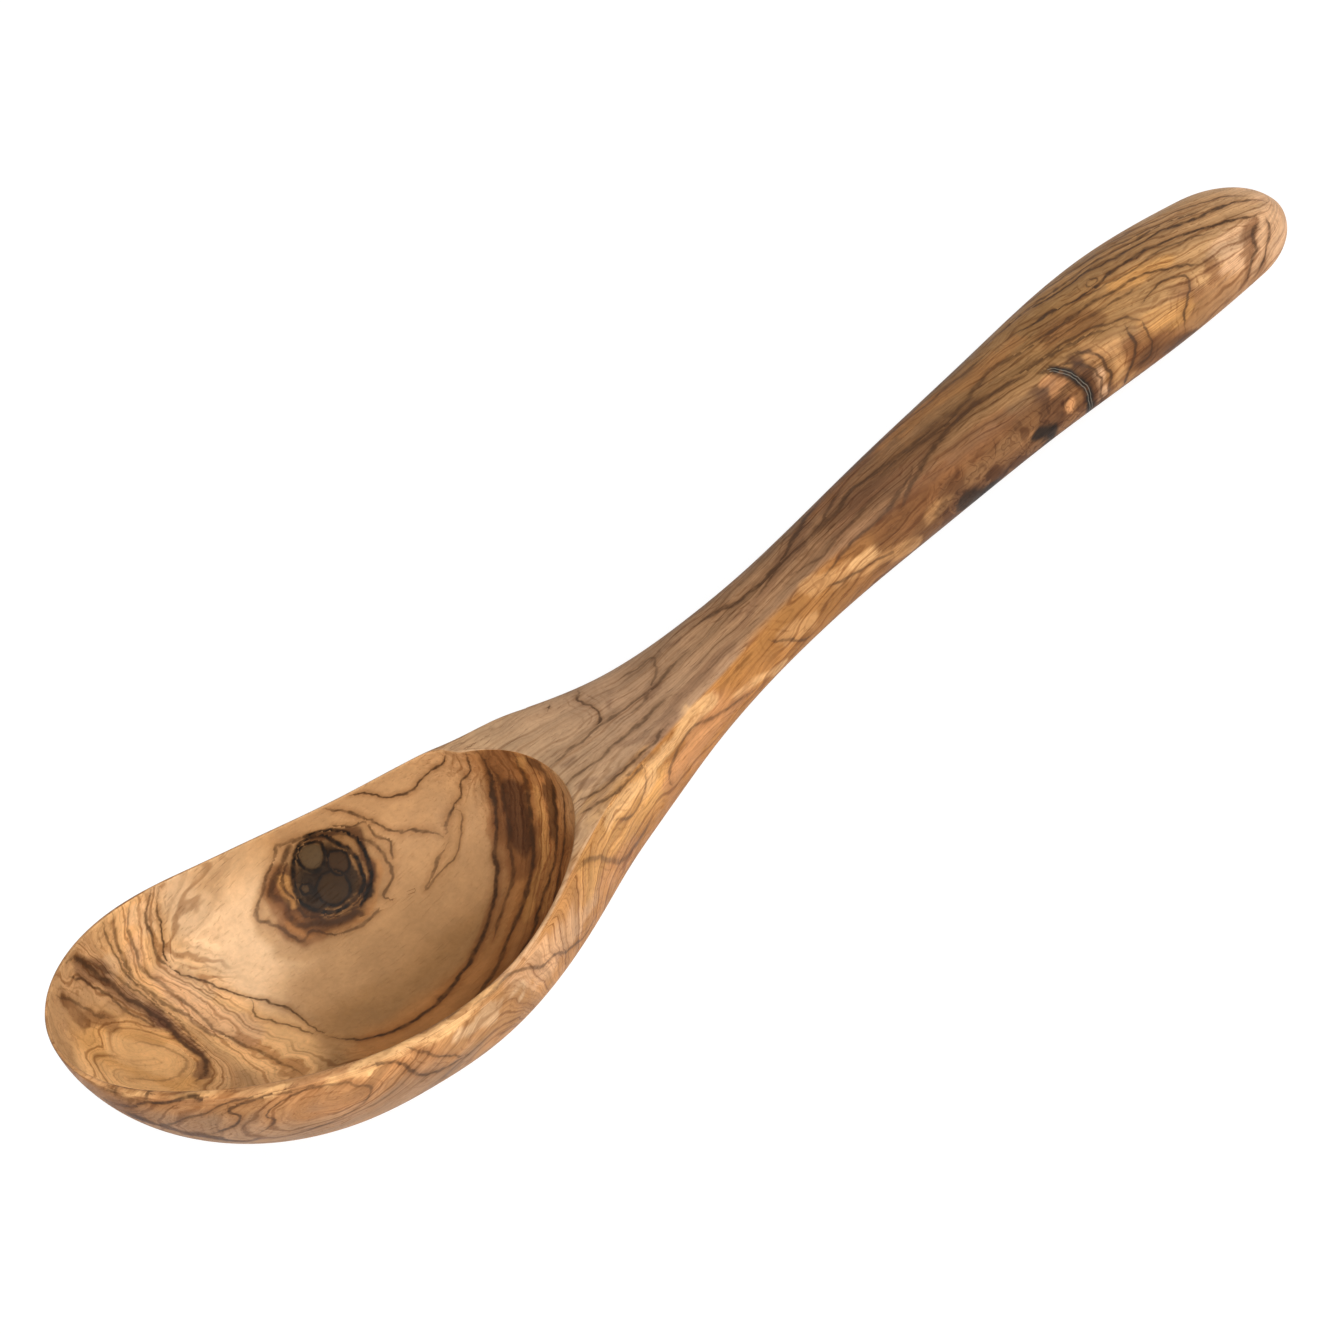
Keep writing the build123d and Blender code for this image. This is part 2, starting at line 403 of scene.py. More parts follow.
def eased(lines, corner, before, after):
    """Rounds off the corner that each of these lines has at one index, from before it to after it."""
    for line, reach_before, reach_after in zip(lines, before, after):
        if reach_before < SHORTEST_ROUND:
            continue
        along = np.concatenate([[0], np.cumsum(np.linalg.norm(np.diff(line, axis=0), axis=1))])
        along -= along[corner]
        near = (along > -reach_before) & (along < reach_after)
        start, end = (
            np.array([np.interp(place, along, line[:, k]) for k in range(3)])
            for place in (-reach_before, reach_after)
        )
        u = ((along[near] + reach_before) / (reach_before + reach_after))[:, None]
        line[near] = (1 - u) ** 2 * start + 2 * u * (1 - u) * line[corner] + u**2 * end
    return lines


def skin_rows(shape):
    """The places of the skin's rows, closer together towards both ends of the spoon."""
    joint = shape.hollow_end_from_tip + JOINT_BEHIND_HOLLOW
    round_tip = np.radians(np.linspace(0, 90, TIP_ROWS + 1))
    round_end = np.radians(np.linspace(0, 90, END_ROWS + 1)[1:])
    return np.concatenate([
        shape.widest_from_tip * (1 - np.cos(round_tip)),
        np.linspace(shape.widest_from_tip, joint, BOWL_ROWS + 1)[1:],
        np.linspace(joint, shape.end_start, HANDLE_ROWS + 1)[1:],
        shape.end_start + shape.end_round_length * np.sin(round_end),
    ])


def skin_sheet(shape, rows, is_under, columns):
    """The underside or the top as rows of points, each row from the left edge to the right one."""
    half_width, level, top, bottom = (size[:, None] for size in shape.sections(rows))
    top_fullness, under_fullness = (size[:, None] for size in shape.fullness(rows))
    height, fullness = (bottom, under_fullness) if is_under else (top, top_fullness)
    t = np.linspace(0, 1, columns + 1)[None]
    y = half_width * out_of_centre(t, fullness)
    z = level + (height - level) * out_of_centre(1 - t, fullness)
    half = np.stack([np.repeat(rows[:, None], columns + 1, 1), y, z], -1)
    return np.concatenate([half, half[:, -2::-1] * (1, -1, 1)], 1)


def hollow_edges(shape, outer):
    """The hollow's edge as cut and as sanded, and how far each point is to the left and on the land."""
    ray = outer[:, :2] - shape.hollow_middle
    forward = ray[:, 0] < 0
    reach = np.where(forward, shape.hollow_front, shape.hollow_back)
    power = np.where(forward, shape.hollow_tip_power, shape.hollow_back_power)
    along = (np.abs(ray[:, 0]) / reach) ** power
    across = (np.abs(ray[:, 1]) / shape.hollow_half_width) ** power
    cut_edge = shape.hollow_middle + ray * ((along + across) ** (-1 / power))[:, None]

    # The rim is sanded thinner on its left side and round the tip, and stays as cut elsewhere
    on_land = rise(outer[:, 0] - shape.hollow_end_from_tip, -12.5, -0.5)
    to_left = rise(outer[:, 1] / (shape.bowl_width / 2), -0.75, 0.15) * (1 - on_land)
    rim_width = np.linalg.norm(outer[:, :2] - cut_edge, axis=1)
    thinned = to_left * (1 - np.minimum(shape.thin_rim / rim_width, 1))
    edge = cut_edge + (outer[:, :2] - cut_edge) * thinned[:, None]
    return cut_edge, edge, to_left, on_land


def bowl_rings(shape, outer, cut_edge, edge):
    """Rings of points from the bowl's outer edge over the rim and down the hollow to its middle."""
    inward = np.array(OVER_RIM)[:, None, None]
    rim_plan = outer[None, :, :2] + inward * (edge - outer[:, :2])[None]
    rim_height = shape.top_height(rim_plan[..., 0], rim_plan[..., 1])
    rim_height[0] = outer[:, 2]
    rim = np.concatenate([rim_plan, rim_height[..., None]], -1)
    out = out_of_centre(np.array(DOWN_HOLLOW), shape.hollow_fullness)
    sanded_plan, cut_plan = (
        shape.hollow_middle + out[:, None, None] * (line - shape.hollow_middle)[None]
        for line in (edge, cut_edge)
    )
    height = shape.hollow_height(cut_plan[..., 0], cut_plan[..., 1])
    edge_height = shape.top_height(edge[:, 0], edge[:, 1])
    height += (edge_height - height[0])[None] * out[:, None] ** 4
    hollow = np.concatenate([sanded_plan, height[..., None]], -1)
    return np.concatenate([rim, hollow])


def roll_rim(shape, rows, under, rings, to_left, rim_width):
    """Rolls the rim's outer edge over on the right side, and eases it away to nothing along the land."""
    bowl = slice(JOINT_ROW + 1)
    corner, count = len(OVER_RIM), rings.shape[1]
    fade = 1 - rise(rows[bowl] - shape.hollow_end_from_tip, -12.0, 6.0)
    left_loop = np.arange(JOINT_ROW + 1)
    right_loop = np.r_[0, np.arange(count - 1, count - 1 - JOINT_ROW, -1)]
    for skin, loop in (
        (under[bowl, :ROLL_COLUMNS], left_loop),
        (under[bowl, : -ROLL_COLUMNS - 1 : -1], right_loop),
    ):
        lines = np.concatenate([skin[:, ::-1], rings[1:corner, loop].transpose(1, 0, 2)], 1)
        before = between(shape.roll_depth, shape.rim_round, to_left[loop]) * fade
        after = between(shape.roll_width, shape.rim_round, to_left[loop])
        after = np.minimum(after, rim_width[loop] * 0.9) * fade
        lines = eased(lines, ROLL_COLUMNS - 1, before, after)
        skin[:] = lines[:, ROLL_COLUMNS - 1 :: -1]
        rings[0, loop] = lines[:, ROLL_COLUMNS - 1]
        rings[1:corner, loop] = lines[:, ROLL_COLUMNS:].transpose(1, 0, 2)


def carved_mesh(shape):
    """The spoon's skin as three sheets of points: the underside, the handle's top and the bowl."""
    rows = skin_rows(shape)
    under = skin_sheet(shape, rows, True, UNDER_COLUMNS)
    crown = skin_sheet(shape, rows, False, CROWN_COLUMNS)[JOINT_ROW:]

    # The bowl's outer edge as a loop: tip, left side, across the joint, right side
    left, right = under[: JOINT_ROW + 1, 0], under[: JOINT_ROW + 1, -1]
    outer = np.concatenate([left, crown[0, 1:-1], right[:0:-1]])
    cut_edge, edge, to_left, on_land = hollow_edges(shape, outer)
    rings = bowl_rings(shape, outer, cut_edge, edge)
    rim_width = np.linalg.norm(outer[:, :2] - edge, axis=1)
    roll_rim(shape, rows, under, rings, to_left, rim_width)
    edge_round = between(shape.inner_round, shape.edge_round, on_land)
    before = np.minimum(edge_round, rim_width * 0.45)
    lines = eased(rings.transpose(1, 0, 2).copy(), len(OVER_RIM), before, edge_round)
    return under, crown, lines.transpose(1, 0, 2)


def quads(at, flip):
    """Four-sided faces between the neighbouring points of a sheet."""
    faces = np.stack([at[:-1, :-1], at[1:, :-1], at[1:, 1:], at[:-1, 1:]], -1).reshape(-1, 4)
    return faces[:, ::-1] if flip else faces


def skin_faces(under, crown, rings):
    """Points and faces of the skin, whose sheets share their edges, and which points line the hollow."""
    points = [sheet.reshape(-1, 3) for sheet in (under, crown, rings)]
    starts = np.cumsum([0] + [len(p) for p in points])
    under_at, crown_at, ring_at = (
        start + np.arange(sheet.shape[0] * sheet.shape[1]).reshape(sheet.shape[:2])
        for start, sheet in zip(starts, (under, crown, rings))
    )
    crown_at[:, 0], crown_at[:, -1] = under_at[JOINT_ROW:, 0], under_at[JOINT_ROW:, -1]
    left, right = under_at[: JOINT_ROW + 1, 0], under_at[JOINT_ROW:0:-1, -1]
    ring_at[0] = np.concatenate([left, crown_at[0, 1:-1], right])
    ring_at[-1] = ring_at[-1, 0]
    under_at[0] = under_at[0, 0]
    under_at[-1] = crown_at[-1] = under_at[-1, 0]
    ring_at = np.concatenate([ring_at, ring_at[:, :1]], 1)
    faces = np.concatenate([quads(under_at, False), quads(crown_at, True), quads(ring_at, False)])
    in_hollow = np.zeros(starts[-1], bool)
    in_hollow[ring_at[len(OVER_RIM) :, :-1]] = True
    return np.concatenate(points), faces, in_hollow


def without_doubles(points, faces, in_hollow):
    """The skin without doubled corners, empty faces and unused points."""
    corners = [[v for k, v in enumerate(face) if v != face[k - 1]] for face in faces.tolist()]
    corners = [face for face in corners if len(face) > 2]
    used, new = np.unique(np.concatenate(corners), return_inverse=True)
    new = iter(new.tolist())
    return points[used], [[next(new) for _ in face] for face in corners], in_hollow[used]


# Dark lines of the grain: half width, darkness and points, in millimetres from the tip, across and up
HOLLOW_VEINS = {
    "core edge at the tip": (0.22, 0.85, [(40, 32, 38), (38.5, 29.5, 36), (35.5, 28, 31.5),
        (33.5, 26, 29), (33, 25, 26.5), (36, 22.5, 22.5), (38.5, 18.5, 18), (41.5, 14.5, 15),
        (43.5, 11, 13.5), (43.5, 6, 12.5), (43.5, 1.5, 12)]),
    "second core edge": (0.35, 0.75, [(38.5, 32, 39), (35.5, 29, 36.5), (34, 28, 33.5), (32.5, 27, 31),
        (32.5, 25.5, 28.5), (33, 25, 26.5)]),
    "bend towards the tip": (0.4, 0.6, [(33.5, 31, 41), (30.5, 28, 36.5), (29, 26, 33), (29, 24, 28),
        (30, 20.5, 24), (30, 17.5, 21.5), (31, 12.5, 18.5), (32.5, 7, 16.5), (34, 1.5, 15.5),
        (35, -4, 16)]),
    "third bend": (0.45, 0.6, [(29, 30.5, 43), (26.5, 26, 35), (26.5, 23.5, 31), (27, 22, 28),
        (28, 18.5, 23.5), (29, 15, 21), (30.5, 11.5, 18.5)]),
    "fourth bend": (0.3, 0.65, [(26.5, 29, 44), (25.5, 25.5, 35), (26, 23.5, 30.5), (26.5, 20, 26)]),
    "step": (0.2, 0.7, [(39.5, 16.5, 16.5), (38, 13.5, 16), (39.5, 11, 15), (41, 7.5, 13.5),
        (42.5, 3.5, 12.5)]),
    "hook": (0.22, 0.85, [(77.5, 26, 28), (80, 25, 26.5), (82.5, 24, 24), (86.5, 22, 22.5),
        (89.5, 20.5, 23.5), (93, 18.5, 26), (95.5, 18.5, 29)]),
    "thread": (0.2, 0.75, [(72.5, 27.5, 28), (75, 26.5, 25.5), (77.5, 25.5, 22.5), (79, 24, 20),
        (80.5, 22, 17), (83, 20.5, 16.5), (86.5, 18.5, 15.5), (87, 16.5, 13.5)]),
    "drop": (0.22, 0.8, [(98, 15.5, 29), (97, 15, 25), (96.5, 15.5, 23.5), (94.5, 16.5, 22),
        (92.5, 16.5, 19), (90.5, 17, 17.5), (89, 17, 15.5), (87.5, 16.5, 14)]),
    "wedge": (0.17, 0.6, [(90.5, 17, 17), (92, 15.5, 16.5), (89, 14, 13), (86.5, 13, 11),
        (83, 13.5, 10), (78.5, 14, 9), (82.5, 15, 11), (87, 15.5, 13)]),
    "back edge of the core": (0.45, 0.95, [(99, 13.5, 29), (99, 12.5, 24), (97, 11, 17.5),
        (93, 8.5, 12.5), (88.5, 5, 9), (84, 2, 7.5), (78, -1.5, 6.5), (71, -4.5, 6.5), (65.5, -6, 7.5),
        (59, -7, 8.5), (53, -6.5, 10), (47.5, -3.5, 11), (44, 1.5, 12)]),
    "its shadow": (0.4, 0.7, [(99.5, 12, 25), (98, 9.5, 18), (95.5, 6.5, 13), (90, 2, 9.5),
        (85, -1, 7.5), (78.5, -4, 6.5)]),
    "back stripe": (0.5, 0.85, [(102.5, 8, 28.5), (102, 6, 21.5), (98, 3, 15), (95.5, 0.5, 12.5),
        (90.5, -2.5, 9.5), (85, -4.5, 8), (79.5, -7, 7), (74.5, -9.5, 7.5), (66, -12.5, 9)]),
    "last stripe": (0.45, 0.9, [(104, 0, 27), (102.5, -1.5, 20.5), (99.5, -3.5, 16.5), (95, -5.5, 13),
        (89.5, -7.5, 10), (85, -9.5, 9), (76, -13, 9)]),
    "edge stripe": (0.35, 0.8, [(104, -2, 27), (103, -4, 23.5), (101, -5.5, 18), (95, -8.5, 13),
        (86, -13, 11)]),
    "eye": (0.55, 0.8, [(15.5, 24.5, 48), (17.5, 26, 45.5), (20, 26, 38), (21.5, 23.5, 31.5),
        (23.5, 20.5, 26), (24, 15, 22.5), (24, 9.5, 21), (22.5, 7, 21.5), (19.5, 5.5, 23.5)]),
    "eye inside": (0.25, 0.35, [(16, 16, 30.5), (19.5, 15.5, 26.5), (21.5, 13, 24), (21.5, 10.5, 23),
        (19.5, 8.5, 24), (15, 7, 27.5), (10.5, 8.5, 33)]),
    "eye streak": (0.3, 0.7, [(14, 24, 46), (17, 24.5, 41), (19, 23.5, 35), (20.5, 21, 29.5),
        (22.2, 17.5, 25)]),
    "tip streak": (0.35, 0.55, [(9.5, 20, 49), (11.5, 21, 44), (14, 21, 38), (16, 20.5, 33.5)]),
    "eye rim": (0.25, 0.6, [(19.5, 27.5, 42), (22.5, 26, 34), (24.7, 22.5, 27), (26, 17.5, 23),
        (26.2, 11, 20.8)]),
    "right wall": (0.4, 0.7, [(24, -16, 24), (34, -22, 20), (46, -25, 19), (60, -24, 18), (74, -21, 16),
        (86, -17, 15)]),
    "low right wall": (0.3, 0.6, [(27, -9, 20), (36, -15, 16), (48, -18, 13), (62, -18, 12),
        (76, -16, 11)]),
}
# How far out of the core each of those lines lies, in growth layers
VEIN_LEVELS = {
    "core edge at the tip": 0.0, "step": 0.5, "back edge of the core": 0.0, "second core edge": 1.5,
    "its shadow": 1.5, "bend towards the tip": 3.0, "back stripe": 3.5, "third bend": 5.0,
    "last stripe": 6.0, "fourth bend": 6.5, "edge stripe": 8.0, "low right wall": 4.0, "right wall": 7.0,
    "eye": 11.0, "eye inside": 14.0,
}
OUTER_VEINS = {
    "bow loop": (0.35, 0.7, [(1.5, -7, 52), (6, -13, 51.5), (3.5, -12, 50), (1.5, -8, 48)]),
    "bow brush": (0.5, 0.9, [(3, -12, 50), (5, -15.5, 51), (8.5, -18.5, 50.5), (12, -21, 49.5)]),
    "bow wave": (0.25, 0.65, [(5, -13.5, 42.5), (7, -18, 46), (10, -21, 46.5), (13, -24, 48),
        (20, -26.5, 47)]),
    "bow cut": (0.35, 0.85, [(10, -19, 39), (12.5, -22.5, 41), (14, -24.5, 44.5), (13.5, -24, 46),
        (16.5, -26, 47), (20, -27.5, 46.5), (24, -29, 45.5)]),
    "side wave": (0.25, 0.65, [(15.5, -23.5, 36), (18.5, -26.5, 39), (18, -26.5, 42.5),
        (21.5, -28.5, 44), (27, -30.5, 43.5)]),
    "side cathedral": (0.25, 0.5, [(19, -27, 46.5), (25, -29.5, 44), (30.5, -31.5, 41),
        (34.5, -32, 35.5), (33, -31.5, 32), (27, -28, 31), (20, -25, 33)]),
    "side ripple": (0.3, 0.7, [(35.5, -32, 40), (40, -33, 37), (44.5, -32, 28), (47.5, -31.5, 25),
        (54, -31.5, 22.5)]),
    "side rim": (0.25, 0.6, [(43.5, -32, 37), (45.5, -33, 33.5), (49.5, -32.5, 27.5),
        (54.5, -31, 21.5)]),
    "side flow": (0.35, 0.6, [(58.5, -31, 31), (62.5, -30.5, 30), (67.5, -29.5, 28.5), (75, -28, 23),
        (85.5, -23, 14), (93, -20, 12)]),
    "land centre": (0.3, 0.6, [(104.5, -1, 28.5), (114.5, -0.5, 27.5), (125, -1, 26), (140, 0, 25)]),
    "land near": (0.3, 0.6, [(103, -7, 28.5), (111.5, -7, 28), (120.5, -6, 26.5), (131, -5, 25.5)]),
    "land edge": (0.28, 0.7, [(100.5, -11.5, 28.5), (107.5, -13, 28.5), (116, -12, 27),
        (126, -10, 25.5)]),
    "land outer": (0.28, 0.7, [(99.5, -14, 29), (107.5, -15.5, 28.5), (112.5, -14, 26.5),
        (117, -13, 25)]),
    "ink": (0.2, 0.8, [(121.5, 10, 26), (119.5, 8, 26.5), (120, 5.5, 26.5), (119.5, 3, 26.5),
        (118, 0.5, 27), (115, -1, 27.5)]),
    "ink spot": (0.2, 0.7, [(115.5, 11, 27), (113.5, 10, 27.5)]),
    "land arch": (0.2, 0.5, [(126, 6.5, 25.5), (131, 5, 25.5), (135, 4.5, 25), (132, 0.5, 25.5),
        (126.5, -2, 26), (121, -2, 26.5)]),
    "fork": (0.35, 0.55, [(116, -13.5, 25.5), (115.5, -13.5, 22), (112.5, -14, 20), (108.5, -15, 20),
        (104.5, -17, 24)]),
    "neck streak": (0.4, 0.6, [(120.5, -11.5, 13.5), (121.5, -12, 18), (125.5, -11, 20),
        (130.5, -10.5, 20.5), (136, -10, 17.5), (139.5, -9.5, 16), (146.5, -8.5, 14)]),
    "shoulder streak": (0.7, 0.5, [(91, -22, 28.5), (94.5, -21.5, 27), (99, -19, 20),
        (103.5, -16.5, 14), (108, -14, 12), (112, -13, 12), (115.5, -12.5, 14)]),
    "first handle line": (0.45, 0.8, [(145, 4, 25), (150.5, 2, 25), (155, 0.5, 25.5), (160.5, 0, 25.5),
        (165, 0.5, 25.5), (171, 2.5, 25.5), (175, 4, 25.5), (182, 6, 25)]),
    "second handle line": (0.35, 0.65, [(156.5, -2, 25.5), (165.5, 0, 25.5), (174.5, -0.5, 26),
        (178.5, 1.5, 26), (186, 4, 25.5)]),
    "third handle line": (0.45, 0.7, [(171.5, -0.5, 26), (180.5, 0.5, 26), (188, 1.5, 25.5),
        (197, 0, 25.5), (208, 0, 25)]),
    "fourth handle line": (0.3, 0.5, [(164, -3.5, 25.5), (172, -4.5, 25), (180, -4, 25.5),
        (190, -3.5, 25.5)]),
    "fifth handle line": (0.3, 0.65, [(168, -7, 23), (176, -6.5, 24), (188.5, -6.5, 24.5),
        (197.5, -4, 25.5)]),
    "under the wedge": (0.3, 0.6, [(168, -7.5, 21), (173.5, -8, 19.5), (179.5, -8.5, 17.5),
        (185.5, -9, 16.5)]),
    "tick": (0.3, 0.6, [(152.5, -8, 21.5), (156.5, -8, 17.5), (161.5, -7.5, 13.5)]),
    "grip lead": (0.55, 0.7, [(188.5, -8, 23), (195, -6, 24.5), (206, -3, 25), (216, -3, 25),
        (227.5, -5, 24)]),
    "grip lead two": (0.45, 0.6, [(191.5, -0.5, 25.5), (203.5, -1, 25.5), (211.5, -1.5, 25),
        (223, 1, 24.5), (231.5, -1, 24), (241.5, -3.5, 23.5)]),
    "grip lead three": (0.3, 0.7, [(225, -3.5, 24.5), (235, -5.5, 23.5), (246.5, -8.5, 21.5)]),
    # The open crack is drawn black, partly the dark bark in it and partly painted shade down its gap, and
    # the material gives its edges a painted highlight
    "crack": (1.25, 1.0, [(229, -6.5, 23.5), (231.5, -7.5, 23), (232.5, -9, 22), (233.5, -10.5, 21),
        (234, -12, 19), (234.5, -12.5, 17), (234.5, -12.5, 13), (234, -11, 10)]),
    "arc": (0.35, 0.75, [(233, -7.5, 23), (236, -9.5, 21.5), (238, -12, 18.5), (237.5, -13, 14.5),
        (237, -12.5, 11)]),
    "outer arc": (0.4, 0.8, [(236.5, -7.5, 22.5), (239.5, -9.5, 21.5), (240.5, -12, 19),
        (240, -13.5, 15.5), (239, -13, 12)]),
    "long line": (0.32, 0.9, [(236, 9, 22.5), (248, 6, 22), (253.5, 5.5, 21.5), (263.5, 4, 20.5),
        (273, 2.5, 19), (283.5, 0, 16.5), (290.5, -2, 14.5), (295, -3.5, 11.5)]),
    "swirl line": (0.4, 0.95, [(232, 4.5, 24), (239.5, 3, 23.5), (249, 1, 22.5), (255.5, 1, 22),
        (261, 1.5, 21), (270, 0, 19.5), (278.5, -2.5, 17.5), (287, -6, 14.5), (291.5, -6.5, 13)]),
    "swirl": (0.2, 0.7, [(253, 3.3, 22), (255, 2.5, 22), (253.5, 1.2, 22), (251.5, 2, 22.5),
        (253, 3.3, 22)]),
    "low line": (0.35, 0.8, [(230, 0, 24.5), (239.5, -1.5, 23.5), (249.5, -2, 22.5), (259, -3.5, 21),
        (263.5, -5, 20.5), (267.5, -7, 19), (273, -9, 17)]),
    "box top": (0.25, 0.7, [(231.5, -4.5, 24), (243, -6.5, 22.5), (250, -9, 21), (252.5, -11, 19.5)]),
    "gable": (0.25, 0.75, [(255, -9, 20.5), (259, -8, 20.5), (262, -7.5, 20), (267, -9.5, 18.5),
        (265.5, -11.5, 17.5), (262.5, -13, 16.5), (260, -14, 14.5), (259, -14.5, 12)]),
    "triangle side": (0.4, 0.85, [(249, -10, 20.5), (248.5, -12, 19), (247, -13.2, 17),
        (244.5, -13.7, 14), (242.5, -13, 11)]),
    "triangle side two": (0.25, 0.7, [(252.5, -11, 19.5), (251.5, -13, 18), (251, -14, 15),
        (249.5, -14, 13.5), (246, -14, 14)]),
    "end line": (0.4, 0.75, [(291, -7, 12.5), (289.5, -9.5, 11), (286.5, -11.5, 10.5), (284.5, -12, 9),
        (281, -12.5, 7.5)]),
    "second end line": (0.4, 0.75, [(289, -7.5, 13.5), (285.5, -9.5, 13.5), (283.5, -11, 12),
        (281, -12.5, 11.5), (278, -13, 9)]),
    "crest line": (0.3, 0.75, [(226, 8, 23.8), (240, 8, 22.5), (255, 6.8, 21.4), (270, 5, 19.4),
        (285, 1.3, 16.3)]),
    "short line": (0.25, 0.6, [(244, 2.2, 23), (256, -0.8, 22), (268, -1.8, 20), (280, -4.5, 17)]),
    "lower short line": (0.25, 0.6, [(234, -3, 24.2), (248, -4.3, 22.7), (259, -5.5, 21.2)]),
    "olive line": (0.35, 0.6, [(186, 7, 24.3), (200, 6.5, 24.8), (214, 5.5, 24.8), (228, 5.5, 24.2)]),
    "upper line": (0.25, 0.7, [(262, 10, 18.5), (271.5, 8, 18), (281.5, 5, 16.5), (288, 2, 15.5),
        (293.5, -1, 13)]),
    "far line": (0.25, 0.7, [(240, 10.5, 21), (250.5, 9.5, 21), (262, 8, 19.5), (272, 5.5, 18.5),
        (282, 2.5, 16.8)]),
    "left side line": (0.35, 0.7, [(20, 27, 40), (40, 31, 30), (60, 30, 20), (80, 25, 14),
        (100, 17, 15)]),
    "left side wave": (0.3, 0.6, [(30, 29, 32), (50, 31, 22), (70, 27, 13), (95, 17, 9), (120, 8, 12)]),
    "left neck line": (0.35, 0.6, [(100, 19, 24), (120, 12, 20), (145, 8.5, 18), (170, 8, 19),
        (200, 10, 17)]),
    "left grip line": (0.35, 0.7, [(195, 9.5, 20), (220, 12, 18), (245, 14, 16), (270, 13, 12),
        (288, 9, 8)]),
    "left grip wave": (0.3, 0.6, [(215, 10, 11), (235, 12, 9), (255, 12.5, 10), (275, 11, 7)]),
    "keel line": (0.35, 0.6, [(30, -6, 12), (50, -4, 3), (75, 3, 0), (100, 6, 1), (130, 3, 7),
        (160, 2, 9)]),
    "keel wave": (0.3, 0.6, [(40, 12, 7), (60, 12, 3), (85, 10, 2), (110, 5, 4), (140, -2, 8),
        (175, -3, 9)]),
    "grip keel": (0.3, 0.6, [(180, 4, 9), (210, 3, 8), (240, -2, 6), (265, -4, 3), (285, -3, 1)]),
}
# Where the layers turn: the pale core, the eye at the tip and the one on the outer side of the bowl
CORE_AT, EYE_AT, SIDE_EYE_AT = (66.0, 12.0, 12.0), (16.0, 11.5, 29.0), (33.5, -32.0, 38.5)
# The knot in the hollow: its middle, and the way up the wall
KNOT_AT, KNOT_UP = (66.0, 24.5, 16.5), (0.0, 0.53, 0.85)
# Its loops: half width, darkness and points, in millimetres along the spoon and up the wall from its middle
KNOT_VEINS = {
    "ragged ring": (0.35, 0.65, [(-3.5, 12), (-6.5, 9.5), (-10, 7), (-14.5, 4), (-13.5, 2), (-12, -1),
        (-11.5, -5), (-8.5, -5), (-6, -9.5), (-2.5, -11), (2.5, -11.5), (6.5, -11.5), (6, -9.5),
        (8.5, -8), (10.5, -6.5), (11.5, -5), (11.5, -0.5), (9.5, 3.5), (7, 6), (3, 9), (-1, 10.5),
        (-3.5, 12)]),
    "left brown ring": (0.75, 0.75, [(-2, 10), (-6, 7.6), (-9.5, 5), (-8.2, 2.5), (-9.8, 0), (-9, -2.6),
        (-6, -4.6), (-3, -7.6), (0, -8), (1, -9.5)]),
    "inner brown ring": (0.3, 0.8, [(-4, 7.5), (-7, 5), (-6.6, 1.5), (-7.4, -1), (-5.5, -3.6), (-3, -6),
        (1, -7.2)]),
    "right black ring": (0.45, 1.0, [(1.5, 9.6), (5, 8.4), (7.8, 6), (9, 3), (9, 0), (8, -3), (6.6, -5),
        (4.5, -6.6), (1.5, -7.9)]),
    "right brown line": (0.25, 0.65, [(7.5, 8), (10, 5.5), (12.5, 4.5), (12, 1.5), (13.5, -2),
        (12, -4.5)]),
    "black ring": (0.5, 1.0, [(5.7, 4.5), (7, 0.5), (5.5, -4), (1.5, -5.8), (-3, -5), (-5.8, -1),
        (-5.5, 3), (-2.5, 7), (1, 9), (4.5, 7.5), (5.7, 4.5)]),
    "low ring": (0.25, 0.9, [(6.8, -2.5), (4.6, -5.4), (1, -6.8), (-3, -6.2), (-5.5, -3)]),
    "first cell": (0.36, 1.0, [(0.5, 8.3), (3, 7), (3, 4.5), (1.5, 2.7), (-0.8, 3), (-2, 5),
        (-1.5, 7.3), (0.5, 8.3)]),
    "second cell": (0.26, 0.95, [(4, 4), (6, 2), (5, -0.5), (3, -0.6), (2, 1.2), (2.5, 3.3), (4, 4)]),
    "third cell": (0.28, 0.95, [(0.2, 1.7), (2.6, 0.6), (3.4, -1.8), (1.8, -4.2), (-1.3, -4.4),
        (-3, -2.2), (-2.4, 0.6), (0.2, 1.7)]),
    "small cell": (0.2, 0.95, [(-3.8, 3), (-2.8, 2), (-3.6, 0.9), (-4.8, 1.5), (-4.6, 2.7), (-3.8, 3)]),
}
# The cells of the knot are greyer than the wood between them
CELL_COLOURS = {
    "first cell": (84, 65, 43), "second cell": (58, 40, 24), "third cell": (54, 37, 20),
    "small cell": (72, 54, 35),
}
# How the material draws a vein
BLACK_LINE, BROWN_VEIN, OPEN_CRACK = 0.0, 1.0, 2.0
# What it reads where no vein is near: the way to it in millimetres, and its half width, darkness and kind
NO_VEIN_WAY, NO_VEIN = (30.0, 0.0, 0.0), (0.3, 0.0, 0.0)
# How far round the box of a vein the wood is searched, and a distance beyond every vein, in millimetres
VEIN_REACH, OUT_OF_REACH = 7.0, 60.0
# Random values along each edge of the block that a cloud repeats
CLOUD_CELLS = 32
# The colours of the wood as they look on a screen, from 0 to 255
CREAM, TAN, GOLD, ORANGE = (226, 187, 143), (186, 143, 98), (205, 151, 88), (194, 137, 88)
MAUVE, BROWN, DARK, BLACK = (152, 118, 88), (123, 80, 46), (82, 52, 31), (28, 20, 14)
AMBER, PINK, BRIGHT = (174, 120, 70), (210, 166, 126), (228, 178, 121)
FAWN, UMBER, PLUM, COCOA = (172, 131, 88), (150, 110, 68), (94, 60, 42), (38, 25, 13)
SAND, RUSSET = (190, 141, 90), (138, 98, 62)
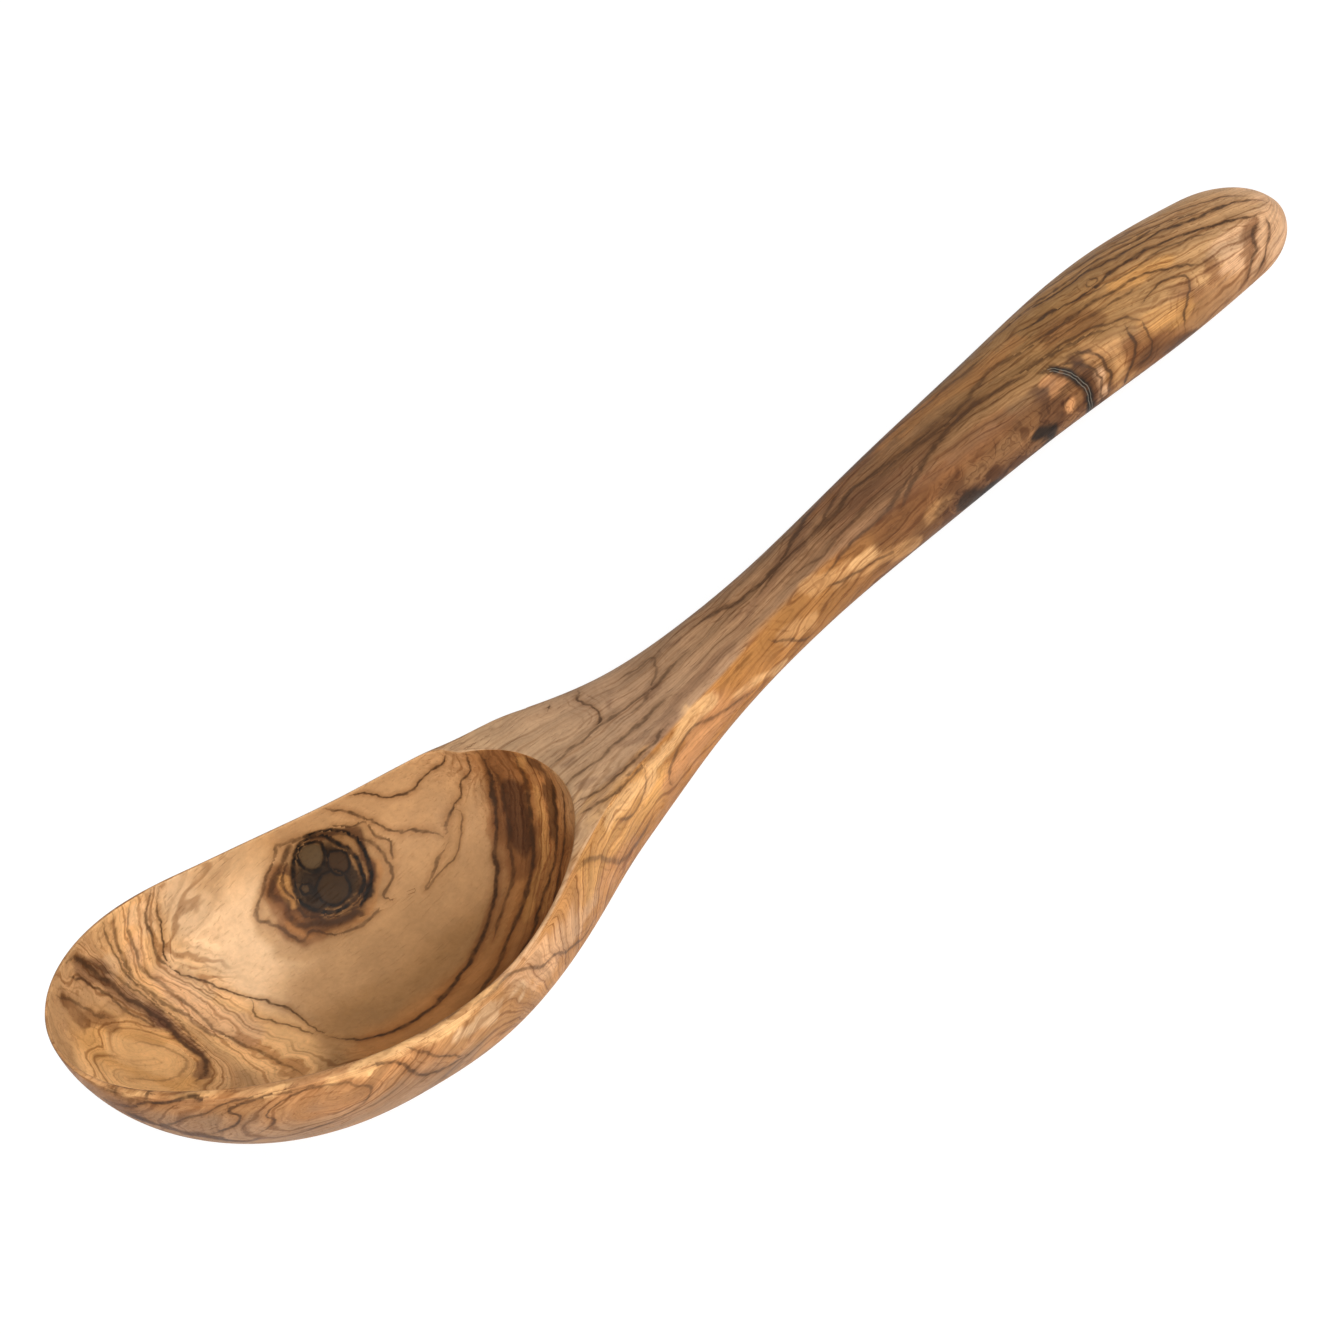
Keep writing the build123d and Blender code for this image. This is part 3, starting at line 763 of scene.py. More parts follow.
# Broad patches of colour, painted one over another: colour, radius, strength and points. Most are the
# wood's own colour, and a few are painted highlight or painted shade
HOLLOW_PATCHES = [
    (CREAM, 15, 0.95, [(46, 26, 26), (48, 20, 17), (50, 10, 12)]),
    (CREAM, 8, 0.7, [(40, 27, 30), (40, 23, 24)]),
    (GOLD, 6, 0.3, [(50, 30, 32), (58, 29, 27)]),
    (TAN, 18, 0.7, [(80, 12, 10), (66, 0, 7)]),
    # The core is darker low down on the hollow's floor: partly its tan wood, partly painted shade where
    # less light falls
    (FAWN, 14, 0.45, [(86, 9, 9), (74, 4, 7), (60, -2, 8)]),
    (FAWN, 12, 0.65, [(54, 6, 10), (58, 6, 9), (66, 4, 8)]),
    (FAWN, 13, 0.6, [(46, 2, 11), (54, -2, 9), (64, -2, 8)]),
    (FAWN, 8, 0.45, [(52, 12, 12), (60, 13, 10), (66, 12, 9)]),
    (UMBER, 10.5, 0.85, [(46, -3, 11), (60, -6, 8), (76, -4, 7)]),
    (BROWN, 1.7, 0.6, [(99, 13, 26), (97.5, 11, 17.5), (93.5, 8, 12.5), (84.5, 1.5, 7.5),
        (71, -5.2, 6.5), (59, -7.5, 8.5), (47.5, -4, 11)]),
    (BRIGHT, 7, 0.9, [(29, 31, 43), (30, 28.5, 32), (31, 24, 25.5), (32, 16, 19), (36, 4, 15)]),
    (CREAM, 2.5, 0.5, [(33, 31, 38), (33.5, 27.5, 29.5), (35, 22, 22.5)]),
    (PINK, 3.5, 0.6, [(30, 26, 33), (31, 21, 24), (34, 12, 17.5)]),
    (GOLD, 9, 0.8, [(12, 12, 36), (18, 11, 27)]),
    (CREAM, 3, 0.5, [(23.5, 25, 37), (25, 21, 29)]),
    (BRIGHT, 5, 0.7, [(7, 8, 42), (12, 3, 31)]),
    (PLUM, 2.0, 0.6, [(17, 25.5, 44), (20, 26, 38), (21.5, 23.5, 31.5), (23.5, 20.5, 26)]),
    (PLUM, 1.6, 0.75, [(23.5, 20.5, 26), (24.2, 15, 22.5), (24, 10, 21), (21.5, 6.5, 22)]),
    (BRIGHT, 4, 0.6, [(14, 13, 32), (20, 11, 25)]),
    (BROWN, 2.0, 0.6, [(10, 19, 46), (12.5, 20, 39), (15, 19, 33)]),
    (DARK, 1.0, 0.5, [(14, 14, 33), (15.5, 13.5, 31.5)]),
    # A painted highlight where the rolled rim catches the light, on its inside from the tip round the near
    # side
    (BRIGHT, 1.8, 0.8, [(2.5, 3, 54), (3, -6, 53.8), (5, -12, 53), (9, -17.5, 51.7), (15, -23, 49.2),
        (24, -28, 45.8), (34, -30.5, 41)]),
    (AMBER, 9, 1.0, [(104, 10, 27), (101, 3, 18), (92, -6, 11), (78, -12, 8), (62, -13, 9),
        (50, -12, 11)]),
    (BROWN, 4, 0.85, [(101, 11, 26), (98, 7, 17), (92, 2, 10.5)]),
    (DARK, 2.8, 0.9, [(100, 8, 20.5), (98, 5.5, 16.5), (95, 4, 13)]),
    (GOLD, 1.2, 0.55, [(103.5, 6, 27), (102.5, 3.5, 21), (99, 0, 15.5), (94, -3, 11.5),
        (86, -6.5, 8.5)]),
    (GOLD, 0.9, 0.4, [(103, 0, 24), (101, -2, 18), (96, -5, 13), (88, -8.5, 9.8)]),
    (DARK, 1.7, 0.8, [(104, 3, 27), (103, -1, 21), (99, -3, 16)]),
    (BROWN, 7, 0.5, [(60, -19, 14), (80, -16, 12), (94, -9, 16)]),
    (GOLD, 9, 0.6, [(20, -8, 27), (34, -16, 19), (50, -22, 17)]),
    (UMBER, 10.0, 0.75, [(63.5, 24.5, 16.5), (68, 25, 17)]),
    (FAWN, 4.5, 0.7, [(54, 25.5, 18), (54.5, 22.5, 14.5), (59, 19.5, 11)]),
    (BROWN, 3.2, 0.75, [(59.5, 29, 21), (57.5, 28, 19), (57, 26.5, 17.5), (56.5, 24.5, 16),
        (58, 21.5, 13.5)]),
    (PLUM, 1.6, 0.65, [(59.8, 28.6, 22.6), (58, 27.4, 20), (57.2, 25.3, 17.4), (58, 23.2, 14.6),
        (61, 21, 12)]),
    (AMBER, 2.2, 0.7, [(57, 24, 15), (62, 20, 12.5), (68, 19, 11.5), (74, 22, 14)]),
    (BROWN, 2.0, 0.75, [(57.5, 27.5, 19.5), (57.5, 24.5, 16), (60, 21.8, 13.7), (65, 20.4, 12.4)]),
    (COCOA, 7.6, 0.92, [(66, 24.5, 16.5), (67.5, 24.8, 17)]),
    (BLACK, 5.6, 0.6, [(66.4, 25, 17.4)]),
    (DARK, 1.3, 0.8, [(67.5, 29.6, 24.7), (71, 29, 23.6), (73.8, 27.7, 21.6), (75, 26.1, 19.1),
        (75, 24.5, 16.5), (74, 22.9, 14), (72.6, 21.9, 12.3), (70.5, 21, 10.9)]),
    (DARK, 1.2, 0.75, [(61.4, 28, 22), (63, 29.3, 24), (66.5, 30, 25.3)]),
    (DARK, 1.4, 0.7, [(60.5, 22.3, 13), (63.5, 20.9, 11), (68, 20.3, 10)]),
    (GOLD, 1.5, 0.6, [(59.8, 28, 20.3), (58.8, 26, 17.8)]),
    (UMBER, 1.2, 0.8, [(72.5, 28, 21), (73.7, 25, 17.5), (72.5, 22.3, 14.3)]),
    (UMBER, 0.9, 0.6, [(62, 22, 14), (65, 20.8, 13), (69, 20.8, 13)]),
    (BLACK, 1.6, 0.9, [(70.8, 20.4, 12.8)]),
    (BLACK, 1.0, 0.8, [(68.9, 28.4, 20.6), (68.6, 27, 18.9)]),
    (BLACK, 1.0, 0.8, [(63.6, 25.3, 16.8), (63.4, 24.4, 15.8)]),
]
OUTER_PATCHES = [
    (BROWN, 3, 0.6, [(2, -8, 48), (8, -15, 42)]),
    (AMBER, 3, 0.5, [(6, -16, 50), (14, -23, 48)]),
    (ORANGE, 7, 0.5, [(26, -30, 40), (42, -32, 30)]),
    (MAUVE, 7, 0.75, [(8, -16, 42), (16, -22, 34), (30, -28, 28), (50, -30, 20)]),
    # A dark band on the outside round the tip just under the rim, seen only where the wall turns away:
    # partly dark wood, partly painted shade
    (DARK, 1.8, 0.9, [(3, 10, 47), (2.5, 0, 47), (4, -10, 45), (8, -16, 40), (14.5, -21, 33)]),
    # A painted highlight where the rolled rim catches the light, on its outside from the tip round the near
    # side to the back
    (BRIGHT, 1.7, 0.85, [(0.8, 0, 55), (1.2, -6, 54.7), (4, -13, 53.7), (8, -18.5, 52.3),
        (14, -23.8, 50), (24, -29, 46), (34, -31.5, 41.3), (48, -32.2, 35.2), (62, -31, 31.2),
        (78, -27, 29)]),
    (PINK, 4.5, 0.6, [(66, -29.5, 26), (80, -25.5, 21), (92, -21, 17)]),
    (GOLD, 6, 0.8, [(96, -19, 22), (108, -15.5, 22), (116, -13, 20)]),
    (BRIGHT, 2.6, 0.7, [(104, -17, 26), (111, -14.5, 23), (116.5, -13, 21.5)]),
    (ORANGE, 3.5, 0.6, [(97, -19.5, 17), (105, -16, 13)]),
    (ORANGE, 4.5, 0.85, [(122, -11, 15), (132, -10, 17), (142, -8.5, 16)]),
    (BRIGHT, 2.2, 0.75, [(117, -12.5, 23.5), (126, -11, 22.5), (136, -9.3, 20)]),
    (BRIGHT, 1.8, 0.6, [(139, -9.3, 18.5), (145, -8.8, 16.5), (152, -8, 13)]),
    (SAND, 2.0, 0.8, [(166, -7.2, 21.8), (172, -7.8, 20.8), (179, -8.2, 20)]),
    (SAND, 2.4, 0.7, [(175, -8.3, 18.5), (182, -8.8, 17), (188, -9, 14.5)]),
    (BRIGHT, 1.3, 0.5, [(176, -8, 20.6), (181, -8.5, 19)]),
    (SAND, 2.0, 0.7, [(155, -7.7, 19), (161, -7.8, 16.5)]),
    (DARK, 2.0, 0.5, [(176, 0, 26), (196, -2, 25.5), (216, -3, 25)]),
    (PLUM, 1.7, 0.36, [(107, -3, 28.5), (114, -5.5, 27.5), (121, -9, 26), (133, -6.5, 25),
        (143, -5.5, 24.5), (155, -4, 25)]),
    (PLUM, 1.0, 0.4, [(124, -1.5, 26), (132, -0.5, 25.5), (136.5, 2.5, 25), (137, 8, 24)]),
    (PLUM, 1.6, 0.35, [(143.5, 0.5, 25), (154, -2.5, 25), (165.5, 0, 25.5), (180, 2.5, 25.5),
        (193, 3.5, 25.5)]),
    (PLUM, 1.4, 0.3, [(173.5, -4, 25.5), (184.5, -2, 25.5), (192.5, -3.5, 25.5), (202.5, -5, 25)]),
    (PLUM, 1.2, 0.4, [(123, 3, 26), (132, 5, 25), (141.5, 3.5, 25)]),
    (PLUM, 1.3, 0.4, [(104, -10, 29), (112, -12, 28), (119, -12, 26)]),
    (BROWN, 3.2, 0.7, [(184, -7.8, 22), (192, -8, 21.5), (200, -8.5, 21)]),
    (BROWN, 3, 0.6, [(178, 4.5, 25), (190, 6, 25), (206, 8, 24)]),
    (AMBER, 2.6, 0.55, [(196, 4, 25.5), (214, 3.5, 25), (232, 3, 24)]),
    (SAND, 2.0, 0.6, [(193, -9.3, 18), (197, -9.6, 18.5)]),
    # A painted highlight band on the near outside of the bowl just under the rim
    (CREAM, 1.5, 0.55, [(53, -32.5, 29.5), (58, -32.5, 28.5), (62.5, -31.5, 26), (67.5, -30.5, 22.5)]),
    (UMBER, 2.5, 0.55, [(238.5, -12.5, 18.5), (243.5, -13, 17.5), (249, -13.5, 17.5)]),
    (RUSSET, 2.0, 0.6, [(208, -10.5, 19), (213, -11, 18)]),
    (BROWN, 3.4, 0.6, [(194, -8.5, 22.5), (204, -9, 22), (216, -9.5, 22)]),
    (DARK, 3.4, 0.6, [(198, -9.5, 19), (206, -10, 16)]),
    (RUSSET, 2.2, 0.8, [(204, -9.8, 19), (207, -10.2, 18)]),
    (RUSSET, 1.8, 0.7, [(214, -10.5, 19.5), (219, -11, 17.5)]),
    (DARK, 3.0, 0.8, [(227, -10.5, 20.5), (226.5, -12, 17)]),
    (BLACK, 2.2, 0.95, [(222.5, -11.5, 15.5), (225, -11.8, 13.5)]),
    (BLACK, 2.2, 0.8, [(203, -10, 13.5), (208, -10, 11)]),
    (ORANGE, 1.5, 0.8, [(230.3, -12.3, 16.2)]),
    (ORANGE, 1.3, 0.6, [(228.5, -9.2, 21.8), (231, -9.5, 21)]),
    (DARK, 2.6, 0.85, [(235.5, -9.5, 21), (236.5, -12.5, 16), (236, -12.5, 11)]),
    (SAND, 3.0, 0.7, [(240, -9.5, 21.8), (245, -11, 19.8), (243.5, -13.3, 15)]),
    (PINK, 1.6, 0.7, [(238.2, -12.5, 18), (238, -13, 15)]),
    (BROWN, 3.0, 0.6, [(236, -2, 24), (246, -4, 22.5)]),
    (BROWN, 3.6, 0.85, [(248, -12.8, 17), (250.5, -13.5, 14), (258, -13.8, 12)]),
    (DARK, 2.2, 0.6, [(248, -13.2, 15), (254, -14.3, 13), (262, -14, 10)]),
    (BROWN, 2.4, 0.6, [(263, -10.5, 18), (266, -12, 15.5)]),
    (GOLD, 3.0, 0.6, [(255, -11, 19.5), (261, -12.5, 17)]),
    (GOLD, 2.6, 0.7, [(255, 0, 22), (268, -3, 20)]),
    (BROWN, 1.8, 0.7, [(273, -10.5, 16.5), (271, -12.5, 14.5)]),
    (PINK, 5.0, 0.8, [(279, -10.5, 14), (290, -8, 10), (296, 0, 8)]),
    (BROWN, 1.8, 0.75, [(288, -7, 13.8), (282, -11, 12.5), (276.5, -13, 9)]),
    (BROWN, 1.4, 0.5, [(284.5, -12, 8), (279, -13, 7)]),
    (DARK, 6, 0.5, [(150, 8, 14), (190, 9, 13)]),
    (GOLD, 8, 0.6, [(60, 26, 14), (90, 14, 8)]),
    (CREAM, 6, 0.5, [(70, -10, 1), (90, 2, 0)]),
    (GOLD, 6, 0.6, [(230, 4, 6), (260, 5, 4)]),
]
# The ground colour along the spoon on its upper faces and on its sides: distance from the tip and colour
TOP_COLOURS = [
    (0, (192, 142, 94)), (60, (182, 138, 94)), (100, (182, 146, 110)), (125, (166, 131, 100)),
    (150, (154, 117, 84)), (185, (132, 96, 66)), (215, (129, 94, 60)), (245, (160, 119, 73)),
    (270, (180, 137, 90)), (300, (191, 150, 109)),
]
SIDE_COLOURS = [
    (0, (150, 106, 68)), (30, (168, 121, 76)), (60, (178, 128, 80)), (100, (182, 127, 72)),
    (130, (174, 117, 60)), (165, (160, 109, 58)), (190, (120, 80, 47)), (215, (110, 74, 45)),
    (235, (124, 85, 51)), (255, (146, 102, 60)), (280, (174, 128, 86)), (300, (186, 143, 102)),
]
# How much each of these darkens the wood at most, and what it tints the wood with
DARKENING = {
    "streaks": (0.85, (0.60, 0.50, 0.42)),
    "lines": (0.80, (0.46, 0.35, 0.26)),
    "pores": (0.60, (0.50, 0.40, 0.32)),
    "burr": (0.80, (0.42, 0.33, 0.28)),
    "halo": (1.0, (0.52, 0.40, 0.30)),
}
# The colour of the painted highlight on the open crack's edges, in linear light
PAINTED_CRACK_HIGHLIGHT = (0.32, 0.28, 0.22)


def cloud(points, size, seed):
    """Smooth random values from 0 to 1 over points, with features of about this size."""
    lattice = np.random.default_rng(seed).random((CLOUD_CELLS, CLOUD_CELLS, CLOUD_CELLS))
    where = points / size + 100.0
    cell = np.floor(where).astype(int)
    t = where - cell
    t = t * t * (3 - 2 * t)
    total = np.zeros(len(points))
    for i in (0, 1):
        for j in (0, 1):
            for k in (0, 1):
                weight = np.abs(1 - i - t[:, 0]) * np.abs(1 - j - t[:, 1]) * np.abs(1 - k - t[:, 2])
                corner = (cell + (i, j, k)) % CLOUD_CELLS
                total += weight * lattice[corner[:, 0], corner[:, 1], corner[:, 2]]
    return total


def rounded_path(points, spacing=0.6):
    """A smooth path through points, cut into short steps."""
    p = np.array(points, float)
    if len(p) == 1:
        return np.repeat(p, 2, 0)
    p = np.concatenate([[2 * p[0] - p[1]], p, [2 * p[-1] - p[-2]]])
    path = []
    for a, b, c, d in zip(p, p[1:], p[2:], p[3:]):
        steps = max(int(np.linalg.norm(c - b) / spacing), 1)
        t = np.linspace(0, 1, steps, endpoint=False)[:, None]
        bend, twist = (2 * a - 5 * b + 4 * c - d) / 2, (3 * b - a - 3 * c + d) / 2
        path.append(b + t * (c - a) / 2 + t**2 * bend + t**3 * twist)
    return np.concatenate([*path, p[-2:-1]])


def nearest_on(path, points):
    """The way from each point to the nearest point of a path, and the step that it lies on."""
    best = np.full(len(points), np.inf)
    way, step = np.zeros((len(points), 3)), np.zeros(len(points), int)
    for k in range(len(path) - 1):
        offset = way_to_step(path, points, np.array([k]))
        distance = np.einsum("ij,ij->i", offset, offset)
        closer = distance < best
        best[closer], way[closer], step[closer] = distance[closer], offset[closer], k
    return way, step


def way_to_step(path, points, step):
    """The way from each point to the nearest point of its own step of a path."""
    a, ab = path[step], path[step + 1] - path[step]
    share_along = np.sum((points - a) * ab, axis=1) / np.maximum(np.sum(ab * ab, axis=1), TINY)
    return a + np.clip(share_along, 0, 1)[:, None] * ab - points


def flattened(offset, normals):
    """The offsets without the part that runs along the normals."""
    return offset - normals * np.sum(offset * normals, axis=1)[:, None]


def across_path(path, points, normals, step):
    """How far each point lies to the left of a path near a step, and how far past one of its ends."""
    steps = np.array([np.clip(step + shift, 0, len(path) - 2) for shift in range(-2, 3)])
    ways = np.array([flattened(way_to_step(path, points, k), normals) for k in steps])
    nearest = np.argmin(np.sum(ways**2, axis=2), axis=0), np.arange(len(points))
    way, step = ways[nearest], steps[nearest]
    tangent = path[step + 1] - path[step]
    tangent /= np.maximum(np.linalg.norm(tangent, axis=1), TINY)[:, None]
    across = np.sum(way * np.cross(normals, tangent), axis=1)
    ahead = np.sum(way * tangent, axis=1)
    past_end = ((step == 0) & (ahead > 0)) | ((step == len(path) - 2) & (ahead < 0))
    whole = np.sign(across) * np.linalg.norm(way, axis=1)
    return np.where(past_end, across, whole), np.where(past_end, ahead, 0.0)


def inside_loop(loop, across, up):
    """Which points of a plane lie inside a closed loop."""
    inside = np.zeros(len(across), bool)
    for (x0, y0), (x1, y1) in zip(loop[:-1], loop[1:]):
        if y0 != y1:
            inside ^= ((y0 > up) != (y1 > up)) & (across < x0 + (up - y0) / (y1 - y0) * (x1 - x0))
    return inside


def in_reach(path, points, reach):
    """Which points lie in the box round a path."""
    return np.all((points > path.min(0) - reach) & (points < path.max(0) + reach), axis=1)


def distance_from(points, spot, stretch=1.0):
    """How far points lie from a spot, with each direction stretched by its own factor."""
    return np.linalg.norm((points - spot) * stretch, axis=1)


def on_wall(loop):
    """Points of the hollow's wall from their places over the knot's two directions."""
    along, up = np.array((1.0, 0.0, 0.0)), np.array(KNOT_UP)
    return [np.array(KNOT_AT) + a * along + b * up for a, b in loop]


def vein_kind(name):
    """How the material draws a vein."""
    if name == "crack":
        return OPEN_CRACK
    return BLACK_LINE if "cell" in name or "black" in name else BROWN_VEIN


class GrownWood:
    """The figure of the wood, worked out at each point of the skin."""

    def __init__(self, shape, points, normals, in_hollow):
        self.shape, self.points, self.normals, self.in_hollow = shape, points, normals, in_hollow

    def ground(self):
        """The broad colours of the wood, with a few painted highlights and painted shade among them, in
        linear light.
        """
        points, x = self.points, self.points[:, 0]
        drawn_out = points * (0.45, 1.0, 1.0)
        calm = 1 - 0.75 * rise(distance_from(points, KNOT_AT), 12.8, 4.8)[:, None]
        # The colours wander away from their places, less so near the knot
        large, small = (
            np.stack([cloud(drawn_out, size, seed) - 0.5 for seed in seeds], -1)
            for size, seeds in ((5.0, (1, 2, 3)), (1.6, (4, 5, 6)))
        )
        loose = points + 3.4 * calm * large + 1.6 * calm * small
        waved_place = loose[:, 0] + 4 * cloud(points, 6.0, 9)

        def along(colours):
            places = [place for place, _ in colours]
            values = np.array([linear(tint) for _, tint in colours])
            return np.stack([np.interp(waved_place, places, values[:, k]) for k in range(3)], -1)

        # The upper faces turn into the sides along a line that the grain makes ragged
        crossing = cloud(points * (0.15, 1.0, 1.0), 1.5, 7) - 0.5
        upward = rise(self.normals[:, 2] + 0.22 * crossing, 0.62, 0.84)[:, None]
        colours = between(along(SIDE_COLOURS), along(TOP_COLOURS), upward)
        colours[self.in_hollow] = linear(TAN)
        threads = 0.9 * (cloud(np.stack([0.05 * x, 0.8 * self.layer, 0 * x], -1), 1.0, 21) - 0.5)

        # The patches have loose edges, and the slim ones of the outside run out to points
        for inside, patches in ((True, HOLLOW_PATCHES), (False, OUTER_PATCHES)):
            for tint, radius, strength, spine in patches:
                path = rounded_path(spine, 4.0)
                near = np.flatnonzero((self.in_hollow == inside) & in_reach(path, points, radius * 1.6))
                offset, step = nearest_on(path, loose[near])
                way = np.linalg.norm(offset, axis=1)
                if not inside and len(spine) > 1 and radius < 5:
                    along_path = (step + 0.5) / (len(path) - 1)
                    way = way / (0.35 + 0.65 * np.sin(np.pi * along_path) ** 0.5)
                soft = (0.2 if inside else 0.4) + 0.6 * min(radius / 8, 1)
                ragged = way / radius + (0 if inside or tint == BLACK else threads[near])
                weight = (strength * (1 - ease((ragged - 1) / soft + 0.5)))[:, None]
                colours[near] = between(colours[near], linear(tint), weight)

        # The cells of the knot are filled last, and have no burr
        across, up = points[:, 0] - KNOT_AT[0], (points - KNOT_AT) @ np.array(KNOT_UP)
        for name, tint in CELL_COLOURS.items():
            loop = rounded_path([(*p, 0) for p in KNOT_VEINS[name][2]])[:, :2]
            cell = self.in_hollow & inside_loop(loop, across, up)
            colours[cell] = linear(tint)
            self.burred[cell] = 0
        return colours

    def veins(self, mesh):
        """At each corner of the faces, where the vein nearest to the face lies and what it is like."""
        count = len(mesh.polygons)
        first, total, at = np.zeros(count, int), np.zeros(count, int), np.zeros(len(mesh.loops), int)
        mesh.polygons.foreach_get("loop_start", first)
        mesh.polygons.foreach_get("loop_total", total)
        mesh.loops.foreach_get("vertex_index", at)
        face = np.repeat(np.arange(count), total)
        centres, uprights = (
            np.add.reduceat(values[at], first) / total[:, None] for values in (self.points, self.normals)
        )
        lining = np.add.reduceat(self.in_hollow[at] * 1.0, first) / total > 0.5
        way = np.tile(NO_VEIN_WAY, (len(at), 1))
        about = np.tile(NO_VEIN, (len(at), 1))
        score = np.full(count, OUT_OF_REACH)
        knot = {name: (width, dark, on_wall(loop)) for name, (width, dark, loop) in KNOT_VEINS.items()}
        for inside, veins in ((True, HOLLOW_VEINS), (False, OUTER_VEINS), (True, knot)):
            for name, (width, dark, points) in veins.items():
                path = rounded_path(points)
                near = np.flatnonzero((lining == inside) & in_reach(path, centres, VEIN_REACH))
                offset, step = nearest_on(path, centres[near])
                away = np.linalg.norm(flattened(offset, uprights[near]), axis=1) - width
                closer = away < score[near]
                score[near[closer]] = away[closer]
                step_of = np.full(count, -1)
                step_of[near[closer]] = step[closer]
                corner = np.flatnonzero(step_of[face] >= 0)
                step = step_of[face[corner]]
                spots, upright = self.points[at[corner]], self.normals[at[corner]]
                across, past = across_path(path, spots, upright, step)
                along = step / max(len(path) - 2, 1)
                taper = np.ones(len(corner))
                if veins is not knot:
                    taper = 0.25 + 0.75 * ease(np.minimum(along, 1 - along) / 0.12)
                way[corner] = np.stack([across, past, 0 * past], -1)
                kind = np.full(len(corner), vein_kind(name))
                about[corner] = np.stack([width * taper, dark * taper**0.5, kind], -1)
        return way, about

    def layers(self):
        """The growth layers as a distance that the fine lines follow, and how strong the lines are."""
        x, y, z = self.points.T
        shape, lining, outer = self.shape, self.in_hollow, ~self.in_hollow
        middle = shape.upper_line(np.clip(x, 0, 300)) - shape.table_level
        half_width = np.maximum(shape.half_width_line(np.clip(x, 44, 300)), 6.0)
        facing_up = rise(self.normals[:, 2], 0.35, 0.75)

        # On the handle's crown the layers fan out, and on the sides they slope down towards the end
        fanned = 13.0 * y / half_width + 0.35 * (z - middle)
        fanned += 0.16 * np.maximum(x - 236, 0) - 3.0 * rise(x, 150, 185) * (1 - rise(x, 195, 235))
        on_side = 0.75 * (z - middle) - 0.10 * (x - 100) + 0.25 * y
        round_side_eye = distance_from(self.points, SIDE_EYE_AT, (0.42, 0.6, 1.0)) + 8
        on_side = between(round_side_eye, on_side, rise(x, 55, 100))
        outside = between(on_side, fanned, facing_up)

        # In the hollow the layers follow the veins that bound the core
        total, weights = np.zeros(len(x)), np.zeros(len(x))
        for name, level in VEIN_LEVELS.items():
            path = rounded_path(HOLLOW_VEINS[name][2], 2.5)
            way = np.linalg.norm(nearest_on(path, self.points[lining])[0], axis=1)
            weight = 1 / (0.3 + way**2)
            total[lining] += level * weight
            weights[lining] += weight
        inside = total / np.maximum(weights, TINY)
        layer = np.where(lining, 1.6 * inside, outside)
        drawn_out = self.points * (0.5, 1, 1)
        calm = 1 - 0.6 * rise(y, 0, 10) * (1 - facing_up) * outer
        wander = 2.6 * (cloud(drawn_out, 8.0, 11) - 0.5) + 1.2 * (cloud(drawn_out, 3.0, 12) - 0.5)
        self.layer = layer + calm * wander

        # The lines are faint in the pale core, in the eye at the tip and on the land
        out_of_core = rise(distance_from(self.points, CORE_AT, (1.0, 1.1, 0.9)), 26.5, 32.5)
        strength = np.where(lining, 0.12 + 0.88 * out_of_core, 1.0)
        in_eye = (1 - rise(distance_from(self.points, EYE_AT), 5.0, 10.0)) * lining
        on_land = rise(x, 98, 104) * rise(x, 150, 130) * facing_up * outer
        strength = strength * (1 - 0.7 * in_eye) * (1 - 0.35 * on_land)

        # The wood is burred round the knot and on the near side of the grip
        burr = 0.75 * rise(distance_from(self.points, KNOT_AT), 11.25, 3.75) * lining
        mottled = rise(x, 190, 200) * rise(x, 238, 232) * (1 - facing_up) * outer * (y < 0)
        self.burred = np.maximum(burr, mottled)
        return self.layer, strength


def lay_figure(mesh, shape, points, in_hollow):
    """Writes the wood's figure onto the skin, with its painted highlights and shade, for the material to
    read.
    """
    normals = np.zeros(len(points) * 3)
    mesh.vertices.foreach_get("normal", normals)
    wood = GrownWood(shape, points, normals.reshape(-1, 3), in_hollow)
    layer, strength = wood.layers()
    ground = np.concatenate([wood.ground(), np.ones((len(points), 1))], 1)
    way, about = wood.veins(mesh)
    for name, kind, domain, field, values in (
        ("ground", "FLOAT_COLOR", "POINT", "color", ground),
        ("layers", "FLOAT_VECTOR", "POINT", "vector", np.stack([layer, strength, wood.burred], -1)),
        ("vein_way", "FLOAT_VECTOR", "CORNER", "vector", way),
        ("vein_about", "FLOAT_VECTOR", "CORNER", "vector", about),
    ):
        attribute = mesh.attributes.new(name, kind, domain)
        attribute.data.foreach_set(field, values.astype(np.float32).ravel())


class SPOON_OT_carve(bpy.types.Operator):
    """Carves the spoon's skin from its sizes and lays the wood's figure over it"""

    bl_idname = "spoon.carve"
    bl_label = "Carve the Spoon"

    def execute(self, context):
        shape = CarvedShape(context.scene.spoon_sizes)
        points, faces, in_hollow = without_doubles(*skin_faces(*carved_mesh(shape)))
        points = points - (0, 0, shape.table_level)
        points[:, 2] = np.maximum(points[:, 2], 0)
        mesh = bpy.data.meshes.new(SPOON_NAME)
        centred = (points - (shape.overall_length / 2, 0, 0)) * MM
        mesh.from_pydata(centred.tolist(), [], faces)
        mesh.shade_smooth()
        if mesh.validate():
            raise RuntimeError("the spoon's skin has faulty faces")
        lay_figure(mesh, shape, points, in_hollow)
        spoon = bpy.data.objects.new(SPOON_NAME, mesh)
        context.scene.collection.objects.link(spoon)
        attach(spoon, "root")
        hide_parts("spoon")
        return {"FINISHED"}


